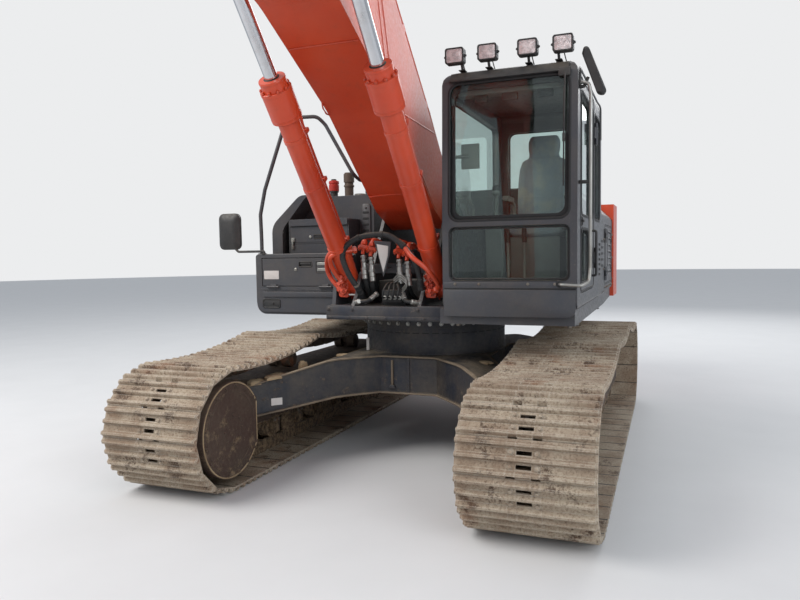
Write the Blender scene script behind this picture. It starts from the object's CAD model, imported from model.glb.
"""The look of the crawler excavator: materials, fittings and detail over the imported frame.

Lengths are millimetres until they go into a mesh. A point is [x, forward, up]: x to the machine's
left, forward the way the boom points. A Place turns such a point into the frame's metres.
"""
import math
import random

import bmesh
import bpy
from mathutils import Matrix, Vector


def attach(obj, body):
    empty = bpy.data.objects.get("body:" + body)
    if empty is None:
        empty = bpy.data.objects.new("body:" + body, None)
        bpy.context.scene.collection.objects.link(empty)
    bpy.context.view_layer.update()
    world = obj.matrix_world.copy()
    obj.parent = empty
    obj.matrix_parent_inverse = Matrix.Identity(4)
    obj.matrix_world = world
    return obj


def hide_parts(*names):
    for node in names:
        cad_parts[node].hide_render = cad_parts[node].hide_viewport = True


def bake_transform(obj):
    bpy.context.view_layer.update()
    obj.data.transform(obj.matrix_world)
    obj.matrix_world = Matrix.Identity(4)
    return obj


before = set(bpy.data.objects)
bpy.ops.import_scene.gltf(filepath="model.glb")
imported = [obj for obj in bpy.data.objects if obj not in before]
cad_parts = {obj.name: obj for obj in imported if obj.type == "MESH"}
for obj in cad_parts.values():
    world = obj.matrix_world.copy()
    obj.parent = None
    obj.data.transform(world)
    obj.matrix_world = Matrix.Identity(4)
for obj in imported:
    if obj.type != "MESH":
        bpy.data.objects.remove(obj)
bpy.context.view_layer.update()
random.seed(11)

MM = 0.001


# Colours and materials

def srgb(r, g, b):
    """A colour as seen on a screen, 0 to 255, in the scene's linear values."""
    def linear(v):
        v /= 255
        return v / 12.92 if v <= 0.04045 else ((v + 0.055) / 1.055) ** 2.4
    return (linear(r), linear(g), linear(b), 1)


DUST = srgb(168, 152, 128)
MUD = srgb(128, 108, 84)
DARK_MUD = srgb(74, 60, 48)
RUST = srgb(112, 66, 40)
BARE_STEEL = srgb(150, 146, 140)


class Graph:
    """A material's node tree with one Principled shader."""

    def __init__(self, name):
        self.material = bpy.data.materials.new(name)
        self.material.use_nodes = True
        self.tree = self.material.node_tree
        self.tree.nodes.clear()
        self.out = self.tree.nodes.new("ShaderNodeOutputMaterial")
        self.shader = self.tree.nodes.new("ShaderNodeBsdfPrincipled")
        self.link(self.shader.outputs[0], self.out.inputs["Surface"])
        self.where = self.tree.nodes.new("ShaderNodeTexCoord")
        self.point = self.where.outputs["Object"]

    def link(self, source, target):
        self.tree.links.new(source, target)

    def put(self, socket, value):
        if isinstance(value, bpy.types.NodeSocket):
            self.link(value, socket)
        else:
            socket.default_value = value

    def node(self, kind, values=(), **settings):
        """A new node: its inputs' values or sources by key, and its settings."""
        made = self.tree.nodes.new("ShaderNode" + kind)
        for key, value in settings.items():
            setattr(made, key, value)
        for key, value in dict(values).items():
            self.put(made.inputs[key], value)
        return made

    def stretched(self, x, y, z):
        return self.node("Mapping", {"Vector": self.point, "Scale": (x, y, z)}).outputs[0]

    def noise(self, scale, detail=3.0, rough=0.55, point=None):
        values = {"Vector": point or self.point, "Scale": scale, "Detail": detail, "Roughness": rough}
        return self.node("TexNoise", values).outputs[0]

    def band(self, value, low, high, start=0.0, end=1.0):
        values = {"Value": value, "From Min": low, "From Max": high, "To Min": start, "To Max": end}
        return self.node("MapRange", values, interpolation_type="SMOOTHSTEP").outputs[0]

    def math(self, how, a, b):
        return self.node("Math", {0: a, 1: b}, operation=how).outputs[0]

    def mix(self, share, a, b):
        return self.node("Mix", {0: share, 6: a, 7: b}, data_type="RGBA").outputs[2]

    def axis(self, vector, name):
        return self.node("SeparateXYZ", {0: vector}).outputs[name]

    def corners(self, radius):
        """How sharply the surface turns within a radius: 0 on a flat, up to 1 at an edge."""
        soft = self.node("Bevel", {"Radius": radius}, samples=4).outputs[0]
        normal = self.node("NewGeometry").outputs["Normal"]
        dot = self.node("VectorMath", {0: soft, 1: normal}, operation="DOT_PRODUCT").outputs["Value"]
        return self.band(dot, 0.995, 0.85)


def finish(name, base, second, patch=1.6, streak=0.2, worn=None, wear=0.35, dust=0.35, mud=0.0,
           mud_top=1.0, rust=0.0, rough=(0.4, 0.6), metal=0.0, coat=0.0, grain=(220.0, 0.0006), lumps=0.0,
           edge=0.004, spots=0.0):
    """A painted or bare metal: two tones in soft patches, streaks that run down, wear on the edges,
    dust on what faces up, mud up to a height, rust in spots, and the bump that goes with them."""
    g = Graph(name)
    up = g.axis(g.where.outputs["Normal"], "Z")
    high = g.axis(g.point, "Z")
    fine = g.noise(38.0, 5.0, 0.65)
    broad = g.noise(patch, 4.0, 0.6)
    colour = g.mix(g.band(broad, 0.35, 0.68), base, second)
    if streak:
        runs = g.noise(1.0, 5.0, 0.6, g.stretched(16.0, 16.0, 1.1))
        colour = g.mix(g.math("MULTIPLY", g.band(runs, 0.5, 0.78), streak), colour, DARK_MUD)
    if rust:
        spot = g.math("MULTIPLY", g.noise(7.0, 6.0, 0.7), g.band(broad, 0.3, 0.7, 0.75, 1.1))
        colour = g.mix(g.band(spot, 0.62 - 0.22 * rust, 0.72 - 0.22 * rust), colour, RUST)
    if spots:
        speck = g.band(g.noise(95.0, 2.0, 0.5), 0.66, 0.74)
        colour = g.mix(g.math("MULTIPLY", speck, spots), colour, DUST)
    if worn:
        edges = g.math("MULTIPLY", g.corners(edge), g.band(fine, 0.38, 0.6))
        colour = g.mix(g.math("MULTIPLY", edges, wear), colour, worn)
    facing = g.band(up, 0.15, 0.95)
    haze = g.band(g.noise(3.2, 6.0, 0.7), 0.3, 0.75)
    dusty = g.math("MULTIPLY", g.math("ADD", g.math("MULTIPLY", facing, 0.75), 0.25), haze)
    dusty = g.math("MULTIPLY", dusty, dust)
    colour = g.mix(dusty, colour, DUST)
    muddy = None
    if mud:
        clods = g.noise(9.0, 8.0, 0.72)
        near = g.band(high, mud_top, mud_top * 0.1)
        muddy = g.band(g.math("ADD", clods, g.math("MULTIPLY", near, mud * 0.5)), 0.62, 0.78)
        colour = g.mix(muddy, colour, g.mix(g.band(fine, 0.4, 0.62), MUD, DARK_MUD))
    g.put(g.shader.inputs["Base Color"], colour)
    spread = g.band(fine, 0.3, 0.7, rough[0], rough[1])
    duller = g.math("MAXIMUM", spread, g.math("MULTIPLY", dusty, 1.1))
    if muddy is not None:
        duller = g.math("MAXIMUM", duller, g.math("MULTIPLY", muddy, 0.92))
    g.put(g.shader.inputs["Roughness"], duller)
    g.shader.inputs["Metallic"].default_value = metal
    g.shader.inputs["Coat Weight"].default_value = coat
    g.shader.inputs["Coat Roughness"].default_value = 0.22
    soft = g.node("Bevel", {"Radius": edge}, samples=4).outputs[0]
    bump = g.node("Bump", {"Strength": 0.6, "Distance": grain[1], "Height": g.noise(grain[0], 3.0, 0.5),
                           "Normal": soft}).outputs[0]
    if lumps or mud:
        rise = g.noise(14.0, 7.0, 0.7)
        if muddy is not None:
            rise = g.math("ADD", rise, g.math("MULTIPLY", muddy, 1.2))
        bump = g.node("Bump", {"Strength": 0.8, "Distance": lumps or 0.004, "Height": rise,
            "Normal": bump}).outputs[0]
    g.put(g.shader.inputs["Normal"], bump)
    return g.material


def glass(name, tint):
    """Thin tinted pane with a film of dust. It lets the lamps through."""
    g = Graph(name)
    film = g.band(g.noise(5.0, 6.0, 0.7), 0.45, 0.8)
    g.put(g.shader.inputs["Base Color"], g.mix(g.math("MULTIPLY", film, 0.12), tint, DUST))
    g.put(g.shader.inputs["Roughness"], g.math("MULTIPLY", film, 0.06))
    g.shader.inputs["Transmission Weight"].default_value = 1.0
    g.shader.inputs["IOR"].default_value = 1.45
    clear = g.node("BsdfTransparent", {"Color": tint})
    path = g.node("LightPath")
    share = g.node("MixShader", {0: path.outputs["Is Shadow Ray"], 1: g.shader.outputs[0],
        2: clear.outputs[0]})
    g.link(share.outputs[0], g.out.inputs["Surface"])
    return g.material


def rubber(name, base=(24, 24, 25), rough=(0.55, 0.75), ribs=0.0):
    """Black rubber, dusty; with ribs it has a hose's wrap lines."""
    g = Graph(name)
    fine = g.noise(60.0, 4.0, 0.6)
    up = g.band(g.axis(g.where.outputs["Normal"], "Z"), 0.2, 1.0)
    dusty = g.math("MULTIPLY", g.math("MULTIPLY", up, 0.35), g.band(g.noise(6.0, 5.0, 0.7), 0.3, 0.7))
    colour = g.mix(g.band(fine, 0.4, 0.65), srgb(*base), srgb(*[v + 16 for v in base]))
    g.put(g.shader.inputs["Base Color"], g.mix(dusty, colour, DUST))
    g.put(g.shader.inputs["Roughness"], g.band(fine, 0.3, 0.7, *rough))
    height = g.noise(400.0, 2.0, 0.5)
    g.put(g.shader.inputs["Normal"],
          g.node("Bump", {"Strength": 0.5, "Distance": 0.0005 + ribs, "Height": height}).outputs[0])
    return g.material


def cloth(name, base, second):
    """Woven seat cloth: a fine two-way weave with soft fuzz."""
    g = Graph(name)
    warp = g.node("TexWave", {"Vector": g.point, "Scale": 260.0, "Distortion": 0.4},
        bands_direction="X").outputs[0]
    weft = g.node("TexWave", {"Vector": g.point, "Scale": 260.0, "Distortion": 0.4},
        bands_direction="Z").outputs[0]
    weave = g.math("MULTIPLY", warp, weft)
    worn = g.band(g.noise(9.0, 5.0, 0.6), 0.4, 0.7)
    colour = g.mix(weave, srgb(*base), srgb(*second))
    g.put(g.shader.inputs["Base Color"], g.mix(g.math("MULTIPLY", worn, 0.3), colour, DUST))
    g.put(g.shader.inputs["Roughness"], g.band(weave, 0.0, 1.0, 0.8, 0.95))
    g.shader.inputs["Sheen Weight"].default_value = 0.25
    g.put(g.shader.inputs["Normal"],
          g.node("Bump", {"Strength": 0.7, "Distance": 0.0008, "Height": weave}).outputs[0])
    return g.material


def chrome(name):
    """A cylinder rod: bright, with faint long scratches and a film of oil and dust."""
    g = Graph(name)
    lines = g.noise(1.0, 4.0, 0.6, g.stretched(240.0, 14.0, 14.0))
    film = g.band(g.noise(4.0, 5.0, 0.65), 0.4, 0.75)
    g.put(g.shader.inputs["Base Color"], g.mix(g.math("MULTIPLY", film, 0.3), srgb(206, 208, 212),
        srgb(138, 132, 124)))
    g.put(g.shader.inputs["Roughness"], g.band(g.math("ADD", lines, film), 0.6, 1.5, 0.1, 0.34))
    g.shader.inputs["Metallic"].default_value = 1.0
    g.put(g.shader.inputs["Normal"], g.node("Bump", {"Strength": 0.15, "Distance": 0.0004,
        "Height": lines}).outputs[0])
    return g.material


def lamp_glass(name):
    """A work lamp's face: fine ribs, clear with a warm grey cast."""
    g = Graph(name)
    ribs = g.node("TexWave", {"Vector": g.point, "Scale": 55.0, "Distortion": 0.0},
        bands_direction="X").outputs[0]
    dull = g.band(g.noise(30.0, 4.0, 0.6), 0.4, 0.7)
    g.put(g.shader.inputs["Base Color"], g.mix(dull, srgb(206, 196, 194), srgb(150, 144, 144)))
    g.put(g.shader.inputs["Roughness"], g.band(dull, 0.0, 1.0, 0.08, 0.3))
    g.shader.inputs["Metallic"].default_value = 0.35
    g.shader.inputs["Coat Weight"].default_value = 0.8
    g.put(g.shader.inputs["Normal"], g.node("Bump", {"Strength": 0.5, "Distance": 0.002,
        "Height": ribs}).outputs[0])
    return g.material


def tread():
    """Track shoes: pale dried mud over rust-brown steel, worn bright on the grouser edges."""
    g = Graph("track_tread")
    broad = g.noise(3.2, 6.0, 0.65)
    fine = g.noise(70.0, 6.0, 0.7)
    grit = g.noise(260.0, 3.0, 0.6)
    colour = g.mix(g.band(broad, 0.38, 0.66), srgb(176, 162, 142), srgb(142, 122, 102))
    colour = g.mix(g.band(fine, 0.42, 0.72), colour, srgb(118, 98, 80))
    stains = g.math("ADD", g.math("MULTIPLY", g.noise(5.0, 7.0, 0.7), 0.75), g.math("MULTIPLY", fine, 0.25))
    colour = g.mix(g.band(stains, 0.53, 0.62), colour, srgb(84, 66, 52))
    colour = g.mix(g.math("MULTIPLY", g.band(g.noise(2.4, 5.0, 0.6), 0.56, 0.7), 0.5), colour,
        srgb(128, 84, 54))
    pale = g.math("MULTIPLY", g.corners(0.012), g.band(g.noise(12.0, 5.0, 0.6), 0.25, 0.6))
    colour = g.mix(g.math("MULTIPLY", pale, 0.75), colour, srgb(204, 194, 178))
    colour = g.mix(g.band(grit, 0.62, 0.7, 0.0, 0.35), colour, srgb(212, 204, 190))
    g.put(g.shader.inputs["Base Color"], colour)
    g.put(g.shader.inputs["Roughness"], g.band(fine, 0.3, 0.7, 0.7, 0.95))
    soft = g.node("Bevel", {"Radius": 0.005}, samples=4).outputs[0]
    rise = g.math("ADD", g.noise(26.0, 8.0, 0.75), g.math("MULTIPLY", grit, 0.35))
    g.put(g.shader.inputs["Normal"],
          g.node("Bump", {"Strength": 0.9, "Distance": 0.008, "Height": rise, "Normal": soft}).outputs[0])
    return g.material


ORANGE = finish("orange_paint", srgb(204, 66, 28), srgb(186, 56, 26), streak=0.14, worn=srgb(92, 62, 50),
    wear=0.6, dust=0.22, rough=(0.34, 0.5), coat=0.25, grain=(160.0, 0.0004), patch=0.9)
GREY = finish("grey_paint", srgb(56, 58, 64), srgb(48, 50, 56), streak=0.14, worn=srgb(96, 94, 92), wear=0.5,
              dust=0.34, rough=(0.36, 0.55), coat=0.12, grain=(180.0, 0.0004), spots=0.12)
FRAME = finish("frame_paint", srgb(34, 38, 48), srgb(26, 28, 36), streak=0.3, worn=srgb(90, 80, 70), wear=0.5,
               dust=0.6, mud=0.42, mud_top=0.9, rough=(0.4, 0.65), grain=(150.0, 0.0008))
GUARD = finish("muddy_guard", srgb(66, 48, 40), srgb(54, 40, 34), streak=0.35, worn=srgb(112, 98, 86),
    wear=0.5, dust=0.3, mud=0.3, mud_top=1.2, rust=0.15, rough=(0.65, 0.9), lumps=0.003)
GEAR = finish("running_gear", srgb(52, 42, 36), srgb(84, 66, 52), streak=0.0, worn=srgb(150, 140, 128),
    wear=0.5, dust=0.5, mud=0.6, mud_top=1.1, rust=0.4, rough=(0.6, 0.9), lumps=0.004)
MACHINE = finish("machine_grey", srgb(44, 45, 47), srgb(30, 30, 32), streak=0.3, worn=srgb(110, 106, 100),
    wear=0.4, dust=0.45, rough=(0.45, 0.7), grain=(120.0, 0.001))
PLASTIC = finish("black_plastic", srgb(30, 31, 33), srgb(38, 39, 41), streak=0.0, dust=0.25,
    rough=(0.45, 0.6), grain=(600.0, 0.0005), edge=0.002)
TRIM = finish("interior_trim", srgb(112, 112, 110), srgb(94, 94, 92), streak=0.0, dust=0.2, rough=(0.55, 0.7),
              grain=(500.0, 0.0005), edge=0.003)
EXHAUST = finish("exhaust_steel", srgb(88, 74, 64), srgb(60, 52, 48), streak=0.2, worn=srgb(140, 120, 100),
                 dust=0.3, rust=0.6, rough=(0.5, 0.75), metal=0.4, grain=(90.0, 0.001))
BUCKET = finish("bucket_steel", srgb(64, 58, 54), srgb(98, 84, 70), streak=0.3, worn=BARE_STEEL, wear=0.8,
    dust=0.4, mud=0.5, mud_top=1.2, rust=0.45, rough=(0.45, 0.8), metal=0.25, lumps=0.004)
TOOTH = finish("tooth_steel", srgb(120, 114, 106), srgb(92, 82, 72), streak=0.0, worn=srgb(190, 188, 184),
    wear=0.9, dust=0.3, mud=0.4, mud_top=0.8, rust=0.3, rough=(0.35, 0.6), metal=0.6, lumps=0.002)
ZINC = finish("zinc_fittings", srgb(168, 168, 164), srgb(136, 134, 128), streak=0.0, worn=srgb(205, 205, 205),
              dust=0.3, rough=(0.3, 0.5), metal=0.8, edge=0.002)
BRIGHT = finish("bare_bolts", srgb(132, 126, 118), srgb(104, 96, 88), streak=0.0, dust=0.4, rust=0.3,
    rough=(0.4, 0.6), metal=0.6, edge=0.002)
LABEL = finish("blank_label", srgb(206, 202, 198), srgb(190, 184, 180), streak=0.1, dust=0.25,
    rough=(0.45, 0.6), edge=0.001)
RED = finish("red_cap", srgb(196, 40, 24), srgb(170, 34, 22), streak=0.1, dust=0.15, rough=(0.35, 0.5),
    edge=0.002)
CHROME = chrome("rod_chrome")
GLASS = glass("window_glass", srgb(234, 246, 240))
MIRROR = finish("mirror_face", srgb(206, 210, 214), srgb(190, 194, 198), streak=0.0, dust=0.12,
    rough=(0.05, 0.12), metal=1.0, edge=0.001)
LENS = lamp_glass("lamp_lens")
HOSE = rubber("hose_rubber", ribs=0.0006)
SEAL = rubber("door_seal", base=(18, 18, 19))
CLOTH = cloth("seat_cloth", (122, 126, 136), (84, 88, 98))
DUSTED = finish("dusted_edges", srgb(112, 98, 82), srgb(92, 80, 68), streak=0.0, worn=srgb(150, 136, 116),
    wear=0.6, dust=0.7, rough=(0.7, 0.9), patch=6.0)
DRIED = finish("dried_mud", srgb(168, 146, 114), srgb(140, 118, 90), streak=0.0, dust=0.5, rough=(0.8, 0.95),
    lumps=0.012, patch=6.0)
TREAD = tread()

# The frame's material slot that each look stands in, where a piece doesn't name another
SLOT = {ORANGE: "orange_paint", RED: "orange_paint", GREY: "grey_paint", LABEL: "grey_paint",
    FRAME: "frame_paint", GUARD: "frame_paint", DUSTED: "frame_paint", DRIED: "frame_paint",
    GEAR: "running_gear", TREAD: "track_steel", ZINC: "machine_grey", BRIGHT: "machine_grey",
    PLASTIC: "black_plastic", SEAL: "black_plastic", HOSE: "black_plastic", MIRROR: "black_plastic",
    LENS: "lamp_plastic", TRIM: "seat_cloth", CLOTH: "seat_cloth", EXHAUST: "exhaust_steel",
    BUCKET: "bucket_steel", TOOTH: "tooth_steel"}

DRESS = {
    ORANGE: ["boom", "boom_pipes", "boom_barrels", "arm", "arm_barrel", "bucket_barrel", "guide_links",
             "push_link", "counterweight"],
    GREY: ["platform", "rear_covers", "pump_cover", "cooler_cover", "hood", "tanks", "front_box", "box_door",
           "handrails", "cab_shell", "cab_door"],
    FRAME: ["car_body", "slew_ring"],
    GUARD: ["track_frame_left", "track_frame_right"],
    GEAR: ["sprockets", "idlers", "rollers"],
    TREAD: ["track_left", "track_right"],
    MACHINE: ["engine", "swing_drive"],
    EXHAUST: ["exhaust"],
    PLASTIC: ["mirrors", "work_lamps"],
    TRIM: ["seat_base", "console"],
    CLOTH: ["seat_cushion", "seat_back"],
    GLASS: ["cab_glass", "door_glass"],
    CHROME: ["boom_rods", "arm_rod", "bucket_rod"],
    BUCKET: ["bucket"],
    TOOTH: ["bucket_teeth"],
}
for material, names in DRESS.items():
    for name in names:
        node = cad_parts[name]
        if not node.material_slots:
            node.data.materials.append(material)
        for place in node.material_slots:
            place.material = material


# Meshes

class Place:
    """A frame at a point of the machine, turned up by an angle about the x axis."""

    def __init__(self, x=0.0, f=0.0, z=0.0, angle=0.0):
        self.start = (x, f, z)
        self.c = math.cos(math.radians(angle))
        self.s = math.sin(math.radians(angle))

    def __call__(self, p):
        x, f, z = self.start
        return Vector((x + p[0], -(f + p[1] * self.c - p[2] * self.s),
            z + p[1] * self.s + p[2] * self.c)) * MM


BASE = Place()
HEX_R = 0.577  # a hexagon's corner radius for a width of 1 across its flats
SIDES, UP, DOWN, AHEAD = (-1, 1), (0, 0, 1), (0, 0, -1), (0, 1, 0)
# How an outline's point and its depth become [x, forward, up]
PLANES = {"side": lambda q, t: (t, q[0], q[1]), "front": lambda q, t: (q[0], t, q[1]),
          "top": lambda q, t: (q[0], q[1], t)}


def polar(r, angle, at=(0, 0)):
    """A point at a radius and an angle in degrees from another."""
    return (at[0] + r * math.cos(math.radians(angle)), at[1] + r * math.sin(math.radians(angle)))


def arcs(points, bend, steps=6):
    """A path through points with its inner corners rounded to a bend radius."""
    points = [Vector(p) for p in points]
    path = [points[0]]
    for a, p, b in zip(points, points[1:], points[2:]):
        u, v = (a - p).normalized(), (b - p).normalized()
        half = u.angle(v) / 2
        if half > math.radians(88):
            path.append(p)
            continue
        reach = min(bend / math.tan(half), (a - p).length * 0.48, (b - p).length * 0.48)
        for i in range(steps + 1):
            t = i / steps
            path.append((p + u * reach) * (1 - t) ** 2 + p * 2 * t * (1 - t) + (p + v * reach) * t ** 2)
    path.append(points[-1])
    return path


def curved(points, steps=8):
    """A smooth path through points, as a hose lies."""
    points = [Vector(p) for p in points]
    ends = [points[0] * 2 - points[1]] + points + [points[-1] * 2 - points[-2]]
    path = []
    for a, b, c, d in zip(ends, ends[1:], ends[2:], ends[3:]):
        for i in range(steps):
            t = i / steps
            path.append(0.5 * (2 * b + (c - a) * t + (2 * a - 5 * b + 4 * c - d) * t * t
                               + (3 * b - a - 3 * c + d) * t ** 3))
    path.append(points[-1])
    return path


def round_rect(a, b, r, steps=4):
    """A rectangle's outline with rounded corners, anticlockwise."""
    corners = [(b[0] - r, b[1] - r, 0), (a[0] + r, b[1] - r, 90), (a[0] + r, a[1] + r, 180),
        (b[0] - r, a[1] + r, 270)]
    return [(x + r * math.cos(math.radians(start + 90 * i / steps)),
        y + r * math.sin(math.radians(start + 90 * i / steps))) for x, y,
        start in corners for i in range(steps + 1)]


def ring_of(r, n, start=0.0):
    """n points on a circle, the first at an angle of start in radians."""
    return [(r * math.cos(2 * math.pi * i / n + start), r * math.sin(2 * math.pi * i / n + start))
        for i in range(n)]


class Piece:
    """Shapes of one body and one material, gathered into one mesh."""

    def __init__(self, name, body, material, place=BASE, slot=None):
        self.name, self.body, self.material, self.place = name, body, material, place
        self.slot = slot or SLOT.get(material)
        self.mesh = bmesh.new()

    def skin(self, rings, caps=True, closed=False):
        """Joins rings of points, all of one length, and closes the ends."""
        rows = [[self.mesh.verts.new(self.place(p)) for p in ring] for ring in rings]
        pairs = list(zip(rows, rows[1:])) + ([(rows[-1], rows[0])] if closed else [])
        n = len(rows[0])
        for a, b in pairs:
            for i in range(n):
                self.mesh.faces.new((a[i], a[(i + 1) % n], b[(i + 1) % n], b[i]))
        if caps and not closed:
            self.mesh.faces.new(rows[0][::-1])
            self.mesh.faces.new(rows[-1])

    def lathe(self, a, b, profile, n=24, start=0.0, hollow=False):
        """Turns a profile of (distance from a towards b, radius) about the line from a to b. A hollow one
        is a ring, closed from its last point back to its first."""
        a, way = Vector(a), (Vector(b) - Vector(a)).normalized()
        side = way.orthogonal().normalized()
        other = way.cross(side)
        self.skin([[a + way * t + side * u + other * v for u, v in ring_of(max(r, 0.01), n, start)] for t,
            r in profile], closed=hollow)

    def turned(self, at, way, profile, n=24, hollow=False):
        """A lathed form that starts at a point and runs along way."""
        self.lathe(at, Vector(at) + Vector(way), profile, n, hollow=hollow)

    def rod(self, a, b, r, chamfer=2.0, n=24):
        """A round bar with chamfered ends."""
        long = (Vector(b) - Vector(a)).length
        c = min(chamfer, r * 0.5, long * 0.3)
        self.lathe(a, b, [(0, r - c), (c * 0.3, r - c * 0.3), (c, r), (long - c, r),
            (long - c * 0.3, r - c * 0.3), (long, r - c)], n)

    def tube(self, path, r, n=12, rings=None):
        """Sweeps a circle along a path. rings gives each point's radius where it isn't r."""
        path = [Vector(p) for p in path]
        ways = [(b - a).normalized() for a, b in zip(path, path[1:])]
        ways = [ways[0]] + [(a + b).normalized() for a, b in zip(ways, ways[1:])] + [ways[-1]]
        side = ways[0].orthogonal().normalized()
        rows = []
        for i, (p, way) in enumerate(zip(path, ways)):
            side = (side - way * side.dot(way)).normalized()
            other = way.cross(side)
            k = rings[i] if rings else r
            rows.append([p + side * u + other * v for u, v in ring_of(k, n)])
        self.skin(rows)

    def slab(self, outline, a, b, plane="side", bevel=4.0, steps=2):
        """An outline drawn as [along, up] between x a and b, as [x, up] between forward a and b, or as
        [x, forward] between up a and b, with its edges rounded."""
        put, (a, b) = PLANES[plane], sorted((a, b))
        low = [self.mesh.verts.new(self.place(put(q, a))) for q in outline]
        high = [self.mesh.verts.new(self.place(put(q, b))) for q in outline]
        n = len(outline)
        faces = [self.mesh.faces.new(low[::-1]), self.mesh.faces.new(high)]
        faces += [self.mesh.faces.new((low[i], low[(i + 1) % n], high[(i + 1) % n], high[i]))
            for i in range(n)]
        if bevel:
            bmesh.ops.recalc_face_normals(self.mesh, faces=faces)
            edges = {e for f in faces for e in f.edges if e.calc_face_angle(0) > 0.5}
            bmesh.ops.bevel(self.mesh, geom=list(edges), offset=bevel * MM, segments=steps, profile=0.5,
                            affect="EDGES", clamp_overlap=True)

    def box(self, a, b, bevel=4.0, steps=2):
        """A box between two corners, with its edges rounded."""
        a, b = [min(p, q) for p, q in zip(a, b)], [max(p, q) for p, q in zip(a, b)]
        self.slab([(a[0], a[1]), (b[0], a[1]), (b[0], b[1]), (a[0], b[1])], a[2], b[2], "top", bevel, steps)

    def bolt(self, p, way, size=20.0):
        """A hexagon head on its washer, size across the flats."""
        p, way = Vector(p), Vector(way).normalized()
        r = size * HEX_R
        self.lathe(p, p + way, [(0, r * 1.35), (size * 0.12, r * 1.35), (size * 0.16, r * 1.28)], 16)
        self.lathe(p, p + way, [(size * 0.1, r), (size * 0.62, r), (size * 0.74, r * 0.82)], 6,
            random.uniform(0, 1))

    def bolts(self, points, way, size=20.0):
        """One bolt at each point."""
        for p in points:
            self.bolt(p, way, size)

    def bolt_ring(self, at, way, r, angles, size=20.0):
        """Bolts on a circle about a point, at angles in degrees; way is along one axis."""
        u, v = (i for i in range(3) if not way[i])
        for angle in angles:
            p = list(at)
            p[u], p[v] = polar(r, angle, (at[u], at[v]))
            self.bolt(p, way, size)

    def bead(self, path, r=5.0):
        """A weld bead with its ripples, half sunk in the seam."""
        long = sum((Vector(b) - Vector(a)).length for a, b in zip(path, path[1:]))
        walk = spaced(path, max(4, int(long / 14)))
        self.tube(walk, r, 6, [r * random.uniform(0.8, 1.15) for _ in walk])

    def add(self, ready, matrix):
        """Copies a ready mesh in, placed by a matrix in metres."""
        copy = ready.copy()
        copy.transform(matrix)
        self.mesh.from_mesh(copy)
        bpy.data.meshes.remove(copy)

    def done(self, replaces=(), sharp=32.0, rides=True):
        """Makes the object, smooth up to the angle sharp, on its body and with its CAD nodes replaced."""
        bmesh.ops.recalc_face_normals(self.mesh, faces=self.mesh.faces)
        mesh = bpy.data.meshes.new(self.name)
        self.mesh.to_mesh(mesh)
        self.mesh.free()
        mesh.polygons.foreach_set("use_smooth", [True] * len(mesh.polygons))
        mesh.set_sharp_from_angle(angle=math.radians(sharp))
        mesh.materials.append(self.material)
        made = bpy.data.objects.new(self.name, mesh)
        bpy.context.scene.collection.objects.link(made)
        if rides:
            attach(made, self.body)
        if replaces:
            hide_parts(*replaces)
        return made


def spaced(path, count):
    """Points at even steps along a path."""
    path = [Vector(p) for p in path]
    runs = [0.0]
    for a, b in zip(path, path[1:]):
        runs.append(runs[-1] + (b - a).length)
    points, k = [], 0
    for i in range(count + 1):
        s = runs[-1] * i / count
        while k < len(path) - 2 and runs[k + 1] < s:
            k += 1
        step = runs[k + 1] - runs[k]
        points.append(path[k].lerp(path[k + 1], (s - runs[k]) / step if step else 0))
    return points


def finished(*pieces):
    """Makes the objects of pieces that replace nothing."""
    for piece in pieces:
        piece.done()


# Tracks: the same path as in the part's source

GAUGE, SHOE_W, TRACK_LEN, WRAP_R = 2590, 800, 4870, 465
GROUSER_H, SHOE_T, LINK_H, SHOE_N = 30, 12, 105, 47
CARRIER_RISE, RUN_SAG, CARRIERS = 90, 55, (620, -750)
WRAP_F = TRACK_LEN / 2 - WRAP_R
TRACK_X = GAUGE / 2


def track_path():
    """The path at the shoe plates' outer face, as [forward, up], one closed loop."""
    r, top = WRAP_R - GROUSER_H, 2 * WRAP_R
    stops = [(WRAP_F, top), (CARRIERS[0], top + CARRIER_RISE), (CARRIERS[1], top + CARRIER_RISE),
        (-WRAP_F, top)]
    points = []
    for i in range(17):
        a = math.radians(-90 + 180 * i / 16)
        points.append((WRAP_F + r * math.cos(a), WRAP_R + r * math.sin(a)))
    for (f0, z0), (f1, z1) in zip(stops, stops[1:]):
        for i in range(1, 7):
            t = i / 6
            points.append((f0 + (f1 - f0) * t, z0 + (z1 - z0) * t - RUN_SAG * 4 * t * (1 - t) - GROUSER_H))
    for i in range(1, 17):
        a = math.radians(90 + 180 * i / 16)
        points.append((-WRAP_F + r * math.cos(a), WRAP_R + r * math.sin(a)))
    return points + [(WRAP_F, GROUSER_H)]


TRACK_PATH = track_path()
SHOE_ENDS = spaced([(f, z, 0) for f, z in TRACK_PATH], SHOE_N)
PITCH = (SHOE_ENDS[1] - SHOE_ENDS[0]).length


def shoe_profile(u0, u1):
    """The outer face of a shoe between two shares of the pitch, as [along, out]."""
    heads = [(0.03, 0.06, 0.15, 0.20), (0.40, 0.44, 0.53, 0.57), (0.77, 0.81, 0.90, 0.94)]
    line = [(0.005, -6.0), (0.012, 0.0)]
    for a, b, c, d in heads:
        line += [(a, 1.5), (a + 0.012, 12.0), (b - 0.004, GROUSER_H - 5), (b + 0.014, GROUSER_H - 0.5),
            (c - 0.014, GROUSER_H - 0.5), (c + 0.004, GROUSER_H - 5), (d - 0.012, 10.0), (d + 0.005, 1.5)]
    line += [(0.965, 0.0), (0.985, -4.0)]
    return [(u, h) for u, h in line if u0 <= u <= u1]


def local(p):
    """A point of a loose mesh, in metres."""
    return Vector(p) * MM


def loose(piece):
    """The bare mesh of a piece that is copied into others."""
    mesh = bpy.data.meshes.new(piece.name)
    bmesh.ops.recalc_face_normals(piece.mesh, faces=piece.mesh.faces)
    piece.mesh.to_mesh(mesh)
    piece.mesh.free()
    return mesh


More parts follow.
